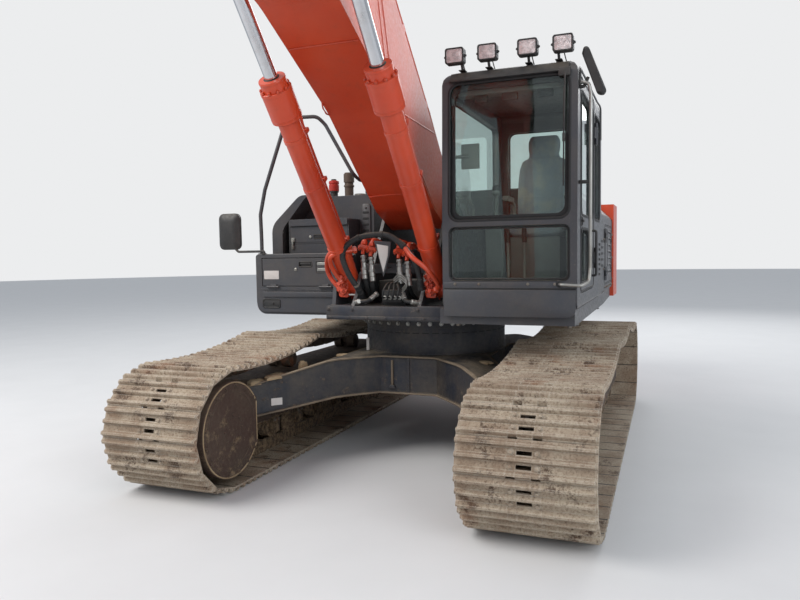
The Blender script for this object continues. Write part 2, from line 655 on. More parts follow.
def shoe_mesh():
    """One shoe: x across, y along the path, z outwards. The plate has two mud slots and two notches."""
    piece = Piece("shoe", None, None, local)
    half, slot, notch, rim = SHOE_W / 2, 44, 98, 12

    def strip(x0, x1, u0, u1, top=1.0):
        line = shoe_profile(u0, u1)
        line = [(u0, -3 if u0 < 0.01 else 0)] * (line[0][0] > u0) + line
        line += [(u1, 0)] * (line[-1][0] < u1)
        outline = [(u * PITCH, h if h <= 0 else h * top) for u, h in line]
        outline += [(u1 * PITCH, -SHOE_T), (u0 * PITCH, -SHOE_T)]
        piece.skin([[(x, y, z) for y, z in outline] for x in sorted((x0, x1))])

    for s in SIDES:
        strip(s * half, s * (half - rim), 0.005, 0.985, 0.72)
        strip(s * (half - rim), s * notch, 0.005, 0.985)
        strip(s * notch, s * slot, 0.055, 0.985)
    for u0, u1 in ((0.005, 0.245), (0.355, 0.60), (0.70, 0.985)):
        strip(-slot, slot, u0, u1)
    for s in SIDES:
        for x, u in ((76, 0.30), (74, 0.66)):
            piece.bolt((s * x, u * PITCH, -1), UP, 22)
    return loose(piece)


def link_mesh():
    """The two link plates of one shoe with their pin bosses and the bushing between them."""
    piece = Piece("link", None, None, local)
    low, high = -SHOE_T - LINK_H, -SHOE_T
    mid = (low + high) / 2
    outline = [(u * PITCH, z) for u, z in ((-0.10, mid - 26), (-0.03, low + 6), (0.10, low + 1),
        (0.90, low + 1), (1.03, low + 6), (1.10, mid - 26), (1.10, mid + 10), (0.98, high - 22), (0.86, high),
        (0.12, high), (0.0, high - 22), (-0.10, mid + 10))]
    for s in SIDES:
        piece.skin([[(x + (4 if y < PITCH / 2 else -4) * s, y, z) for y, z in outline]
                    for x in sorted((s * 74, s * 100))])
        piece.rod((s * 62, PITCH, mid - 8), (s * 104, PITCH, mid - 8), 36, 3, 16)
    piece.rod((-62, PITCH, mid - 8), (62, PITCH, mid - 8), 27, 2, 16)
    return loose(piece)


def joint_mesh():
    """The dark joint between a shoe and the next one, on the inner face beside the chain."""
    piece = Piece("joint", None, None, local)
    for s in SIDES:
        piece.box((s * 108, 0.955 * PITCH, -SHOE_T - 1), (s * (SHOE_W / 2 - 3), PITCH, -SHOE_T + 2), 0.5)
    return loose(piece)


def track(side, name):
    """All shoes, links and joints of one track, set along its path."""
    shoes = Piece("track_shoes_" + name, "undercarriage", TREAD)
    links = Piece("track_chain_" + name, "undercarriage", GEAR, slot="track_steel")
    joints = Piece("track_joints_" + name, "undercarriage", SEAL, slot="track_steel")
    for a, b in zip(SHOE_ENDS, SHOE_ENDS[1:]):
        way = (b - a).normalized()
        turn = Matrix(((1, 0, 0), (0, -way.x, way.y), (0, -way.y, -way.x))).transposed().to_4x4()
        spot = Matrix.Translation(Vector((side * TRACK_X, -a.x, a.y)) * MM) @ turn
        shoes.add(SHOE, spot)
        links.add(LINK, spot)
        joints.add(JOINT, spot)
    shoes.done(replaces=["track_" + name], sharp=40)
    links.done(sharp=40)
    joints.done()


SHOE, LINK, JOINT = shoe_mesh(), link_mesh(), joint_mesh()
track(1, "left")
track(-1, "right")
for spare in (SHOE, LINK, JOINT):
    bpy.data.meshes.remove(spare)


# Places of the moving parts, worked out as in the part's source

def rounded(rows, n=5):
    """An outline from rows of (across, up, corner radius), rounded as in the part's source."""
    out = []
    for i, (x, y, r) in enumerate(rows):
        p = Vector((x, y))
        a, b = Vector(rows[i - 1][:2]), Vector(rows[(i + 1) % len(rows)][:2])
        if r <= 0:
            out.append((x, y))
            continue
        u, v = (a - p).normalized(), (b - p).normalized()
        half = u.angle(v) / 2
        d = min(r / math.tan(half), 0.48 * (a - p).length, 0.48 * (b - p).length)
        q = d * math.tan(half)
        c = p + (u + v).normalized() * q / math.sin(half)
        a0 = math.atan2(*(p + u * d - c).yx)
        da = (math.atan2(*(p + v * d - c).yx) - a0 + 3 * math.pi) % (2 * math.pi) - math.pi
        out += [(c.x + q * math.cos(a0 + da * k / n), c.y + q * math.sin(a0 + da * k / n))
            for k in range(n + 1)]
    return out


def turned_point(o, angle, q):
    """A point q of a frame that stands at o and is turned up by an angle, as [forward, up]."""
    c, s = math.cos(math.radians(angle)), math.sin(math.radians(angle))
    return (o[0] + q[0] * c - q[1] * s, o[1] + q[0] * s + q[1] * c)


def angle_of(p, q):
    """The direction from p to q in degrees."""
    return math.degrees(math.atan2(q[1] - p[1], q[0] - p[0]))


def cross_left(p, rp, q, rq):
    """Where a circle about p and one about q cross, on the left of the line from p to q."""
    p, q = Vector(p), Vector(q)
    d, e = (q - p).length, (q - p).normalized()
    a = (rp * rp - rq * rq + d * d) / (2 * d)
    s = p + e * a + math.sqrt(rp * rp - a * a) * Vector((-e.y, e.x))
    return (s.x, s.y)


BOOM_X, BOOM_W, BOOM_LEN, BOOM_A = -50, 524, 6200, 16.1
FOOT, CYL_FOOT, ROD_PIN, ARM_CYL_FOOT = (170, 2080), (880, 1457), (2843, 788), (3000, 1660)
ARM_LEN, ARM_W, ARM_A = 3100, 360, -76
ARM_CYL_PIN, BKT_CYL_FOOT, GUIDE_PIN = (-770, 370), (550, 520), (ARM_LEN - 440, 30)
GUIDE_LEN, PUSH_LEN, BUCKET_W, TIP_R = 630, 600, 1400, 1570
SHELL_C, SHELL_R = (766, 56), 580
TIP = turned_point(FOOT, BOOM_A, (BOOM_LEN, 0))
BUCKET_PIN = turned_point(TIP, ARM_A, (ARM_LEN, 0))
BUCKET_A = (180 + math.degrees(math.asin((BUCKET_PIN[1] - SHELL_R - 4) / math.hypot(*SHELL_C)))
            - math.degrees(math.atan2(SHELL_C[1], SHELL_C[0])))
LINK_PIN = polar(430, 105)
KNEE = cross_left(turned_point(TIP, ARM_A, GUIDE_PIN), GUIDE_LEN,
    turned_point(BUCKET_PIN, BUCKET_A, LINK_PIN), PUSH_LEN)
BOOM_CYL_X = 383
BOOM_CYL_END = turned_point(FOOT, BOOM_A, ROD_PIN)
ARM_FOOT_AT, ARM_EYE_AT = turned_point(FOOT, BOOM_A, ARM_CYL_FOOT), turned_point(TIP, ARM_A, ARM_CYL_PIN)
BKT_FOOT_AT = turned_point(TIP, ARM_A, BKT_CYL_FOOT)

BOOM = Place(BOOM_X, *FOOT, BOOM_A)
ARM = Place(BOOM_X, *TIP, ARM_A)
BUCKET_AT = Place(BOOM_X, *BUCKET_PIN, BUCKET_A)
BOOM_CYL = {s: Place(BOOM_X + s * BOOM_CYL_X, *CYL_FOOT, angle_of(CYL_FOOT, BOOM_CYL_END)) for s in SIDES}
ARM_CYL = Place(BOOM_X, *ARM_FOOT_AT, angle_of(ARM_FOOT_AT, ARM_EYE_AT))
BKT_CYL = Place(BOOM_X, *BKT_FOOT_AT, angle_of(BKT_FOOT_AT, KNEE))


# Fittings that come again

def barrel_dress(piece, seal, gland, r, rod_r, head_r, eye_w, lines=1):
    """The gland, flange bolts, collar, ports, supply line and grease nipple of one cylinder barrel,
    drawn along its axis from the foot pin."""
    nose, ledge = head_r - 16, gland - 75
    piece.turned((0, gland - 318, 0), AHEAD, [(0, r - 2), (4, r + 7), (14, r + 9), (18, r - 2)], 40,
        hollow=True)
    piece.turned((0, gland - 304, 0), AHEAD, [(0, r - 2), (10, head_r - 6), (22, head_r + 1.5),
        (30, head_r + 1.5), (32, head_r - 3)], 40, hollow=True)
    piece.turned((0, ledge - 26, 0), AHEAD, [(0, head_r - 3), (2, head_r + 3), (24, head_r + 3),
        (27, head_r - 2), (27, nose - 2)], 40, hollow=True)
    piece.turned((0, gland - 22, 0), AHEAD, [(0, nose - 4), (2, nose + 2), (14, nose + 3),
        (22, nose - 2), (23.5, rod_r + 12), (23.5, rod_r + 1)], 40, hollow=True)
    for i in range(10):
        a = 2 * math.pi * (i + 0.5) / 10
        x, z = (head_r - 7) * math.cos(a), (head_r - 7) * math.sin(a)
        piece.rod((x, ledge, z), (x, ledge + 10, z), 11, 1, 12)
        piece.bolt((x, ledge + 6, z), AHEAD, 17)
    seal.turned((0, gland - 4, 0), AHEAD, [(0, rod_r + 12), (6, rod_r + 10), (12, rod_r + 2),
        (12, rod_r + 0.5), (0, rod_r + 0.5)], 32, hollow=True)
    # Ports at the head and the foot, and the line that joins the foot's port to the head end
    for a, top in ((gland - 190, head_r), (175, r)):
        piece.box((-34, a - 36, top - 20), (34, a + 36, top + 26), 5)
        piece.bolts([(dx, a + dy, top + 25) for dx in (-24, 24) for dy in (-26, 26)], UP, 13)
    for k in range(lines):
        x = 30 + 34 * k
        path = arcs([(0, 175, r + 20), (0, 175, r + 58), (x, 300, r + 34), (x, gland - 420, r + 34),
                     (x, gland - 330, r + 52), (x, gland - 120, head_r + 34)], 60)
        piece.tube(path, 11, 10)
    for a in (420, (gland - 120) / 2 + 120, gland - 460):
        piece.turned((0, a - 16, 0), AHEAD, [(0, r), (1, r + 5), (31, r + 5), (32, r), (32, r - 3),
            (0, r - 3)], 40, hollow=True)
        piece.box((6, a - 16, r), (60, a + 16, r + 50), 4)
        piece.bolt((48, a, r + 48), UP, 14)
    # The foot's eye
    for s in SIDES:
        piece.turned((s * (eye_w / 2 - 9), 0, 0), (s, 0, 0), [(0, 92), (3, 96), (8, 96), (10, 90)], 40)
    piece.rod((0, -60, -66), (0, -72, -80), 7, 1, 10)


def eye_dress(piece, length, r, eye_w, rod_r):
    """The collar and welded seam of a rod's eye."""
    piece.turned((0, length - r - 66, 0), AHEAD, [(0, rod_r + 2), (5, rod_r + 22), (14, rod_r + 24),
        (24, rod_r + 20)], 32)
    for s in SIDES:
        piece.turned((s * (eye_w / 2 - 9), length, 0), (s, 0, 0),
            [(0, r - 4), (3, r), (8, r), (10, r - 7)], 36)


def pin_cap(piece, x, p, r, way):
    """A pin's end: its flange, the keeper plate with two bolts and a grease nipple."""
    f, z = p
    piece.turned((x, f, z), (way, 0, 0), [(0, r), (2, r + 2), (10, r + 2), (13, r - 4)], 36)
    piece.turned((x + way * 11, f, z), (way, 0, 0), [(0, r * 0.42), (3, r * 0.4), (6, r * 0.3)], 20)
    piece.slab([(f - r * 0.5, z + r * 0.55), (f + r * 0.5, z + r * 0.55), (f + r * 0.34, z + r * 1.25),
        (f - r * 0.34, z + r * 1.25)], x + way * 8, x + way * 20, bevel=2)
    piece.bolts([(x + way * 19, f + d * r * 0.2, z + r * 0.98) for d in SIDES], (way, 0, 0), 15)
    piece.rod((x + way * 15, f, z - r * 0.1), (x + way * 30, f, z - r * 0.1), 6, 1, 10)


def union(piece, p, q, r):
    """A screwed hose end from p towards q: its hexagon, collar and crimped shell."""
    a, way = Vector(p), (Vector(q) - Vector(p)).normalized()
    piece.lathe(a, a + way, [(0, r * 1.5), (r * 0.9, r * 1.5), (r * 1.1, r * 1.35)], 6)
    piece.lathe(a, a + way, [(r, r * 1.1), (r * 1.2, r * 1.25), (r * 2.9, r * 1.3), (r * 3.1, r * 1.15),
        (r * 3.3, r * 1.28), (r * 4.8, r * 1.28), (r * 5.0, r * 1.05)], 20)


# Cylinders

def cylinders():
    """Dress of the barrels and rods of the boom's, the arm's and the bucket's cylinders."""
    barrels = Piece("boom_barrel_fittings", "boom_barrels", ORANGE)
    seals = Piece("boom_barrel_seals", "boom_barrels", SEAL)
    rods = Piece("boom_rod_eyes", "boom_rods", ORANGE)
    rod_r = 46
    for s in SIDES:
        barrels.place = seals.place = rods.place = BOOM_CYL[s]
        barrel_dress(barrels, seals, 1870, 78, rod_r, 108, 140)
        eye_dress(rods, math.dist(CYL_FOOT, BOOM_CYL_END), 100, 150, rod_r)
    finished(barrels, seals, rods)
    # Name, place and length from pin to pin; gland, r, rod_r, head_r and eye_w of barrel_dress; the rod eye's
    # r and width
    for name, place, length, gland, r, rod_r, head_r, eye_w, eye_r, rod_eye_w in (
            ("arm", ARM_CYL, math.dist(ARM_FOOT_AT, ARM_EYE_AT), 2300, 92, 52, 122, 184, 95, 120),
            ("bucket", BKT_CYL, math.dist(BKT_FOOT_AT, KNEE), 1450, 80, 45, 106, 160, 88, 110)):
        barrel = Piece(name + "_barrel_fittings", name + "_barrel", ORANGE, place)
        seal = Piece(name + "_barrel_seal", name + "_barrel", SEAL, place)
        rod = Piece(name + "_rod_eye", name + "_rod", ORANGE, place)
        barrel_dress(barrel, seal, gland, r, rod_r, head_r, eye_w, lines=2)
        eye_dress(rod, length, eye_r, rod_eye_w, rod_r)
        finished(barrel, seal, rod)


# Boom, arm and bucket

BOOM_ROWS = [(-175, -60, 150), (60, -175, 150), (460, -128, 300), (1480, 285, 900), (2480, 505, 600),
    (3300, 470, 900), (BOOM_LEN - 250, -150, 300), (BOOM_LEN + 150, -150, 145), (BOOM_LEN + 170, 130, 145),
    (BOOM_LEN - 330, 235, 300), (4400, 905, 1500), (3000, 1420, 1100), (2250, 1330, 900), (600, 500, 500),
    (-60, 185, 150)]
ARM_ROWS = [(-880, 300, 90), (-640, 250, 200), (-150, -160, 200), (120, -215, 200), (900, -190, 300),
    (ARM_LEN - 60, -130, 110), (ARM_LEN + 105, -98, 95), (ARM_LEN + 105, 98, 95), (ARM_LEN - 480, 150, 200),
    (1200, 330, 300), (300, 400, 200), (-300, 420, 200), (-740, 500, 110), (-900, 430, 90)]


def between(outline, a0, a1, upper):
    """The stretch of an outline from along a0 to a1, on its lower or upper side."""
    side = []
    for q in outline:
        if a0 <= q[0] <= a1:
            near = [k[1] for k in outline if abs(k[0] - q[0]) < 260]
            if (q[1] >= (max(near) + min(near)) / 2) == upper:
                side.append(q)
    return sorted(side)


def boom():
    """Weld seams, doublers, pin ends and the lines along the front half of the boom's back."""
    outline, half, end = rounded(BOOM_ROWS), BOOM_W / 2, BOOM_LEN - 700
    low, high = between(outline, 120, end, False), between(outline, 200, end, True)
    seams = Piece("boom_seams", "boom", ORANGE, BOOM)
    for s in SIDES:
        seams.bead([(s * (half - 1), a, u + 22) for a, u in low], 5.5)
        seams.bead([(s * (half - 1), a, u - 22) for a, u in high], 5.5)
        for p, r in ((ROD_PIN, 150), ((BOOM_LEN, 0), 140)):
            seams.bead([(s * (half + 0.5), *polar(r, t, p)) for t in range(0, 361, 10)], 6)
            seams.turned((s * (half - 2), *p), (s, 0, 0), [(0, r), (3, r), (6, r - 5)], 48)
    # Doubler seams across the underside
    seams.bead([(x, 640, -52 - 0.00022 * x * x) for x in range(-250, 251, 25)], 6)
    seams.bead([(x, 2100, 418) for x in range(-250, 251, 25)], 6)
    seams.done()
    pins = Piece("boom_pin_ends", "boom", GREY, BOOM)
    for s in SIDES:
        pin_cap(pins, s * (half + 14), (BOOM_LEN, 0), 72, s)
        pin_cap(pins, s * 150, ARM_CYL_FOOT, 58, s)
    pins.done()
    lines = Piece("boom_front_lines", "boom", ORANGE, BOOM)
    back = [(3100, 1418), (3500, 1300), (4000, 1105), (4400, 930), (4900, 700), (5400, 480), (5700, 350)]
    for s in SIDES:
        for x in (162, 212):
            lines.tube(arcs([(s * x, 2990, 1500)] + [(s * x, a, u + 40) for a, u in back], 200), 13, 10)
        for a, u in back[1:-1:2]:
            lines.box((s * 135, a - 22, u - 12), (s * 240, a + 22, u + 58), 4)
            lines.bolt((s * 187, a, u + 58), (0, 0.4, 1), 16)
    for s in SIDES:
        for a, u in ((800, 590), (1400, 895), (2000, 1195)):
            lines.bolt((s * 187, a - 48 * 0.45, u + 98 * 0.9), (0, -0.45, 0.9), 18)
    lines.done()


boom()
cylinders()


# Upper structure

HALF_W, DECK_LOW, DECK_Z = 1450, 1196.3, 1306.3
BOX_F, BOX_TOP, BOX_X = 780, 1732, (-1440, -570)
RAIL_R = 17


def loop_band(piece, outer, inner, a, b, plane="front", soft=3.0):
    """A flat ring between two outlines of one length, from a to b, with softened edges."""
    put, way = PLANES[plane], 1 if b > a else -1
    rows = []
    for share, depth in ((0, a), (0, b - way * soft), (0.3, b), (0.7, b), (1, b - way * soft), (1, a)):
        rows.append([put((o[0] + (i[0] - o[0]) * share, o[1] + (i[1] - o[1]) * share), depth)
                     for o, i in zip(outer, inner)])
    piece.skin(rows, caps=False, closed=True)


def grown(a, b, by):
    """The corners of a rectangle that reaches further out by an amount, or in where it is negative."""
    return (a[0] - by, a[1] - by), (b[0] + by, b[1] + by)


def rim(piece, a, b, radii, inset, t0, t1, plane="front", soft=3.0, steps=4):
    """A rounded rectangle's border as a flat ring: its outer and inner corner radii and its width."""
    loop_band(piece, round_rect(a, b, radii[0], steps), round_rect(*grown(a, b, -inset), radii[1], steps), t0,
        t1, plane, soft)


def handrails():
    """Tubes of the handrails with their feet and bolts."""
    rails = Piece("handrail_tubes", "upper", GREY)
    x = -HALF_W + 36
    rails.tube(arcs([(x, 715, BOX_TOP), (x, 715, 1860), (x + 5, 730, 2090), (x + 55, 725, 2310),
        (x + 240, 690, 2840), (x + 300, 560, 2960), (x + 480, 500, 2965), (x + 530, 440, 2900),
        (x + 790, 420, 2440), (x + 800, 300, 2400), (x + 800, 140, 2400), (x + 800, 140, 2270)], 90), RAIL_R,
        16)
    rails.turned((x, 715, BOX_TOP - 1), UP, [(0, 34), (6, 34), (9, 30), (9, 19), (16, 18)], 24)
    rails.turned((x + 800, 140, 2269), UP, [(0, 34), (6, 34), (9, 30), (9, 19), (16, 18)], 24)
    rails.bolt_ring((x, 715, BOX_TOP + 7), UP, 27, range(45, 360, 90), 9)
    rails.done(replaces=["handrails"])


def mirrors():
    """Arms, heads and glass of the two mirrors."""
    arms = Piece("mirror_arms", "upper", PLASTIC)
    faces = Piece("mirror_faces", "upper", MIRROR)
    x = -HALF_W + 40
    arms.tube(arcs([(x + 50, 763, BOX_TOP), (x + 50, 763, 1760), (x - 225, 763, 1760), (x - 255, 763, 1790),
                    (x - 300, 763, 1900), (x - 300, 763, 1960)], 30), 11, 12)
    arms.turned((x + 50, 763, BOX_TOP - 1), UP, [(0, 26), (8, 26), (11, 14), (18, 13)], 20)
    # The head on the front box: a rounded shell with a raised rim and its glass behind
    shell = round_rect((x - 425, 1780), (x - 200, 2110), 52, 6)
    slim = [(x - 312 + (px - x + 312) * 0.8, 1945 + (pz - 1945) * 0.84) for px, pz in shell]
    small = [(x - 312 + (px - x + 312) * 0.5, 1945 + (pz - 1945) * 0.56) for px, pz in shell]
    arms.skin([[(px, 737, pz) for px, pz in shell], [(px, 764, pz) for px, pz in shell],
               [(px, 786, pz) for px, pz in slim], [(px, 798, pz) for px, pz in small]])
    faces.slab([(x - 312 + (px - x + 312) * 0.92, 1945 + (pz - 1945) * 0.93) for px, pz in shell], 733, 739,
        "front", 1)
    # The head at the cab's front corner, hung on a short arm
    f = 1180
    arms.tube(arcs([(HALF_W - 6, f, 2840), (HALF_W + 34, f, 2840), (HALF_W + 60, f + 6, 2900)], 20), 11, 12)
    head = rounded([(1467, 3060, 30), (1480, 3108, 20), (1512, 3104, 40), (1630, 2800, 30), (1612, 2772, 20),
                    (1570, 2778, 50)], 5)
    middle = (sum(q[0] for q in head) / len(head), sum(q[1] for q in head) / len(head))
    slim = [(middle[0] + (a - middle[0]) * 0.82, middle[1] + (b - middle[1]) * 0.9) for a, b in head]
    arms.skin([[(a, f - 22, b) for a, b in head], [(a, f + 6, b) for a, b in head],
        [(a, f + 24, b) for a, b in slim]])
    faces.slab([(middle[0] + (a - middle[0]) * 0.93, middle[1] + (b - middle[1]) * 0.95) for a, b in head],
        f - 26, f - 20, "front", 1)
    arms.done(replaces=["mirrors"])
    faces.done()


def exhaust():
    """The exhaust's pipe and clamps, and the air cleaner's bowl and neck."""
    pipe = Piece("exhaust_pipe", "upper", EXHAUST)
    x, f = -1085, -460
    pipe.turned((x, f, 2270), UP, [(0, 66), (6, 66), (8, 56), (40, 56), (42, 50), (60, 50), (62, 46),
        (296, 46), (299, 44), (299, 41), (190, 40)], 40)
    for z in (2300, 2420):
        pipe.turned((x, f, z), UP, [(0, 47), (2, 54), (20, 54), (22, 47)], 40)
        pipe.bolt((x + 52, f + 20, z + 11), (1, 0, 0), 14)
    pipe.turned((x, f, 2470), UP, [(0, 46), (1, 55), (86, 55), (88, 50)], 40)
    bowl = Piece("precleaner_bowl", "upper", RED)
    x, f = -1040, -20
    bowl.turned((x, f, 2340), UP, [(0, 44), (4, 50), (60, 50), (64, 46), (70, 46), (74, 51),
        (96, 50), (104, 38), (106, 0.5)], 40)
    neck = Piece("precleaner_neck", "upper", PLASTIC)
    neck.turned((x, f, 2270), UP, [(0, 52), (8, 52), (10, 38), (58, 38), (60, 46), (72, 46), (74, 40)], 36)
    neck.turned((x, f, 2440), UP, [(0, 24), (4, 26), (16, 26), (19, 22)], 24)
    neck.rod((x + 4, f - 30, 2449), (x + 4, f + 34, 2449), 9, 2, 12)
    bowl.done()
    pipe.done(replaces=["exhaust"])
    neck.done()


def front_box():
    """The front box's step lip, lamp recess and seam, and its door's latch, vents and plate."""
    x0, x1, f = BOX_X[0], BOX_X[1], BOX_F
    parts = Piece("front_box_fittings", "upper", GREY)
    dark = Piece("front_box_trim", "upper", PLASTIC)
    # The step lip along the front, with its rough top, and the lower lamp's recess
    tread_f = f + 14
    parts.slab(round_rect((x0 + 70, 1352), (x1 - 4, 1400), 8), f - 2, tread_f, "front", 3)
    for i in range(46):
        px = x0 + 92 + i * 16.5
        parts.slab([(px - 5, f + 1), (px + 5, f + 1), (px + 3, tread_f - 2), (px - 3, tread_f - 2)], 1399,
            1407 + random.uniform(-1, 2), "top", 0)
    rim(dark, (x0 + 62, 1250), (x0 + 246, 1336), (20, 14), 12, f - 1, f + 7)
    dark.slab(round_rect((x0 + 74, 1262), (x0 + 234, 1324), 14), f - 1, f + 2.5, "front", 1)
    dark.bolts([(x0 + 170, f + 2, 1293)], AHEAD, 16)
    # Edge roll on the top, and the seam under the door
    parts.tube([(x0 + 18, f - 8, BOX_TOP - 3), (x1 - 10, f - 8, BOX_TOP - 3)], 7, 10)
    parts.bead([(x0 + 30, f + 0.5, 1420), (x1 - 10, f + 0.5, 1420)], 2.5)
    finished(parts, dark)
    door = Piece("box_door_fittings", "box_door", ZINC)
    black = Piece("box_door_trim", "box_door", PLASTIC)
    face = f - 2
    door.turned((-1033, face - 2, 1595), AHEAD, [(0, 15), (6, 15), (8, 12), (9, 5), (7, 4.5)], 24)
    rim(black, (-1006, 1612), (-868, 1668), (16, 11), 10, face - 1, face + 4)
    black.slab(round_rect((-996, 1622), (-878, 1658), 11), face - 16, face - 12, "front", 1)
    black.box((-990, face - 12, 1640), (-884, face + 1, 1656), 3)
    rim(black, (-836, 1562), (-690, 1672), (14, 9), 10, face - 1, face + 3)
    for z in (1580, 1630):
        door.slab(round_rect((-820, z), (-706, z + 26), 9), face - 1, face + 5, "front", 2)
    finished(door, black)
    label = Piece("box_blank_plate", "box_door", LABEL)
    label.slab(round_rect((-1358, 1510), (-1206, 1586), 6), face - 1, face + 1.2, "front", 0.5)
    label.done()


def tanks():
    """The tank's cap, grip strips and screws, and the locker's latch and lock."""
    parts = Piece("tank_fittings", "upper", GREY)
    dark = Piece("tank_trim", "upper", SEAL)
    zinc = Piece("tank_latches", "upper", ZINC)
    f = 480
    # Locker doors on the step: their seams, latch and lock
    for low, high in ((1836, 1986), (1400, 1828)):
        rim(dark, (-1258, low), (-657, high), (12, 10), 6, f - 2, f + 0.6, soft=0.3)
    zinc.turned((-1041, f - 1, 1886), AHEAD, [(0, 14), (6, 14), (8, 11), (9, 4)], 24)
    rim(dark, (-1010, 1866), (-900, 1908), (12, 8), 8, f - 1, f + 4)
    dark.box((-1002, f - 3, 1874), (-908, f + 1, 1900), 1)
    zinc.slab(round_rect((-1240, 1842), (-1204, 1880), 5), f - 1, f + 12, "front", 2)
    zinc.box((-1232, f + 8, 1782), (-1214, f + 20, 1860), 4)
    zinc.slab(round_rect((-1236, 1776), (-1210, 1806), 5), f - 1, f + 14, "front", 2)
    # Cap of the tank, grip strips and the cover's screws
    x, y = -860, -260
    zinc.turned((x, y, 2269), UP, [(0, 78), (5, 78), (8, 72), (8, 60), (26, 60), (27, 66), (52, 66),
        (58, 58), (60, 0.5)], 48)
    zinc.bolt_ring((x, y, 2275), UP, 70, range(0, 360, 60), 11)
    for k in range(4):
        parts.box((-1080, -1050 + 190 * k, 2269), (-620, -980 + 190 * k, 2275), 2)
        for i in range(12):
            parts.turned((-1060 + i * 38, -1015 + 190 * k, 2273), UP, [(0, 9), (4, 7), (5, 3)], 10)
    # Screws round the tank's side
    for g in (-1080, -640, -200, 160):
        parts.bolts([(-1439, g, z) for z in (1420, 1900)], (-1, 0, 0), 16)
    # Louvred plate beside the locker
    parts.slab(round_rect((-632, 1890), (-540, 2186), 30, 5), 229, 244, "front", 5)
    for z in (1930, 1985, 2040, 2095):
        dark.slab(round_rect((-616, z), (-556, z + 22), 8), 243, 245.4, "front", 0.5)
    parts.bolts([(-586, 243, 2150), (-586, 243, 1908)], AHEAD, 14)
    finished(parts, dark, zinc)


def lamps():
    """The four work lamps over the windscreen: shell, rim, ribbed face, ears and bracket."""
    shells = Piece("lamp_shells", "upper", PLASTIC, slot="lamp_plastic")
    faces = Piece("lamp_faces", "upper", LENS)
    low, high = 3082, 3196
    for x, shift in ((575, 42), (816, 0), (1102, 0), (1345, -35)):
        place = Place(x, 1235, (low + high) / 2, 0)
        shells.place = faces.place = place
        rim, face = round_rect((-70, -57), (70, 57), 18, 5), round_rect((-60, -48), (60, 48), 13, 5)
        back = round_rect((-48, -40), (48, 40), 18, 5)
        shells.skin([[(a * 0.55, -116, b * 0.5) for a, b in back], [(a, -112, b) for a, b in back],
            [(a, -76, b) for a, b in back], [(a, -66, b) for a, b in rim], [(a, -3, b) for a, b in rim],
            [(a * 0.97, 0, b * 0.97) for a, b in rim], [(a, 0, b) for a, b in face],
            [(a * 0.98, -7, b * 0.98) for a, b in face]])
        faces.skin([[(a * 0.99, -7.5, b * 0.99) for a, b in face],
            [(a * 0.97, -4, b * 0.97) for a, b in face], [(a * 0.6, -1.5, b * 0.6) for a, b in face]])
        for s in SIDES:
            shells.turned((s * 68, -34, 0), (s, 0, 0), [(0, 13), (8, 12), (9, 8), (14, 8), (16, 5)], 16)
        shells.tube(arcs([(shift, -60, -57), (shift, -80, -92), (shift, -80, -99)], 10), 10, 10)
        shells.box((shift - 24, -116, -99.3), (shift + 24, -52, -93), 2)
        shells.bolt((shift, -84, -94), UP, 18)
        shells.tube(curved([(shift * 0.5, -112, -6), (shift * 0.5 + 8, -140, -30),
            (shift * 0.5 + 20, -150, -80), (shift * 0.5 + 26, -170, -98)]), 4, 8)
    shells.done(replaces=["work_lamps"])
    faces.done()


# Cab

CAB_IN, CAB_OUT, CAB_F, CAB_REAR, CAB_TOP = 485, 1450, 1280, -440, 3040
SILL, BAR_Z, GLASS_TOP, PILLAR = 1520, 1925, 2930, 55
SCREEN = Place(0, CAB_F, BAR_Z, math.degrees(math.atan2(40, 1055)))


def window_seal(piece, a, b, r, t0, t1, plane):
    """The rubber round a pane: it laps the opening from a to b on both sides."""
    loop_band(piece, round_rect(*grown(a, b, 14), r + 12, 6), round_rect(*grown(a, b, -7), r - 6, 6), t0, t1,
        plane)


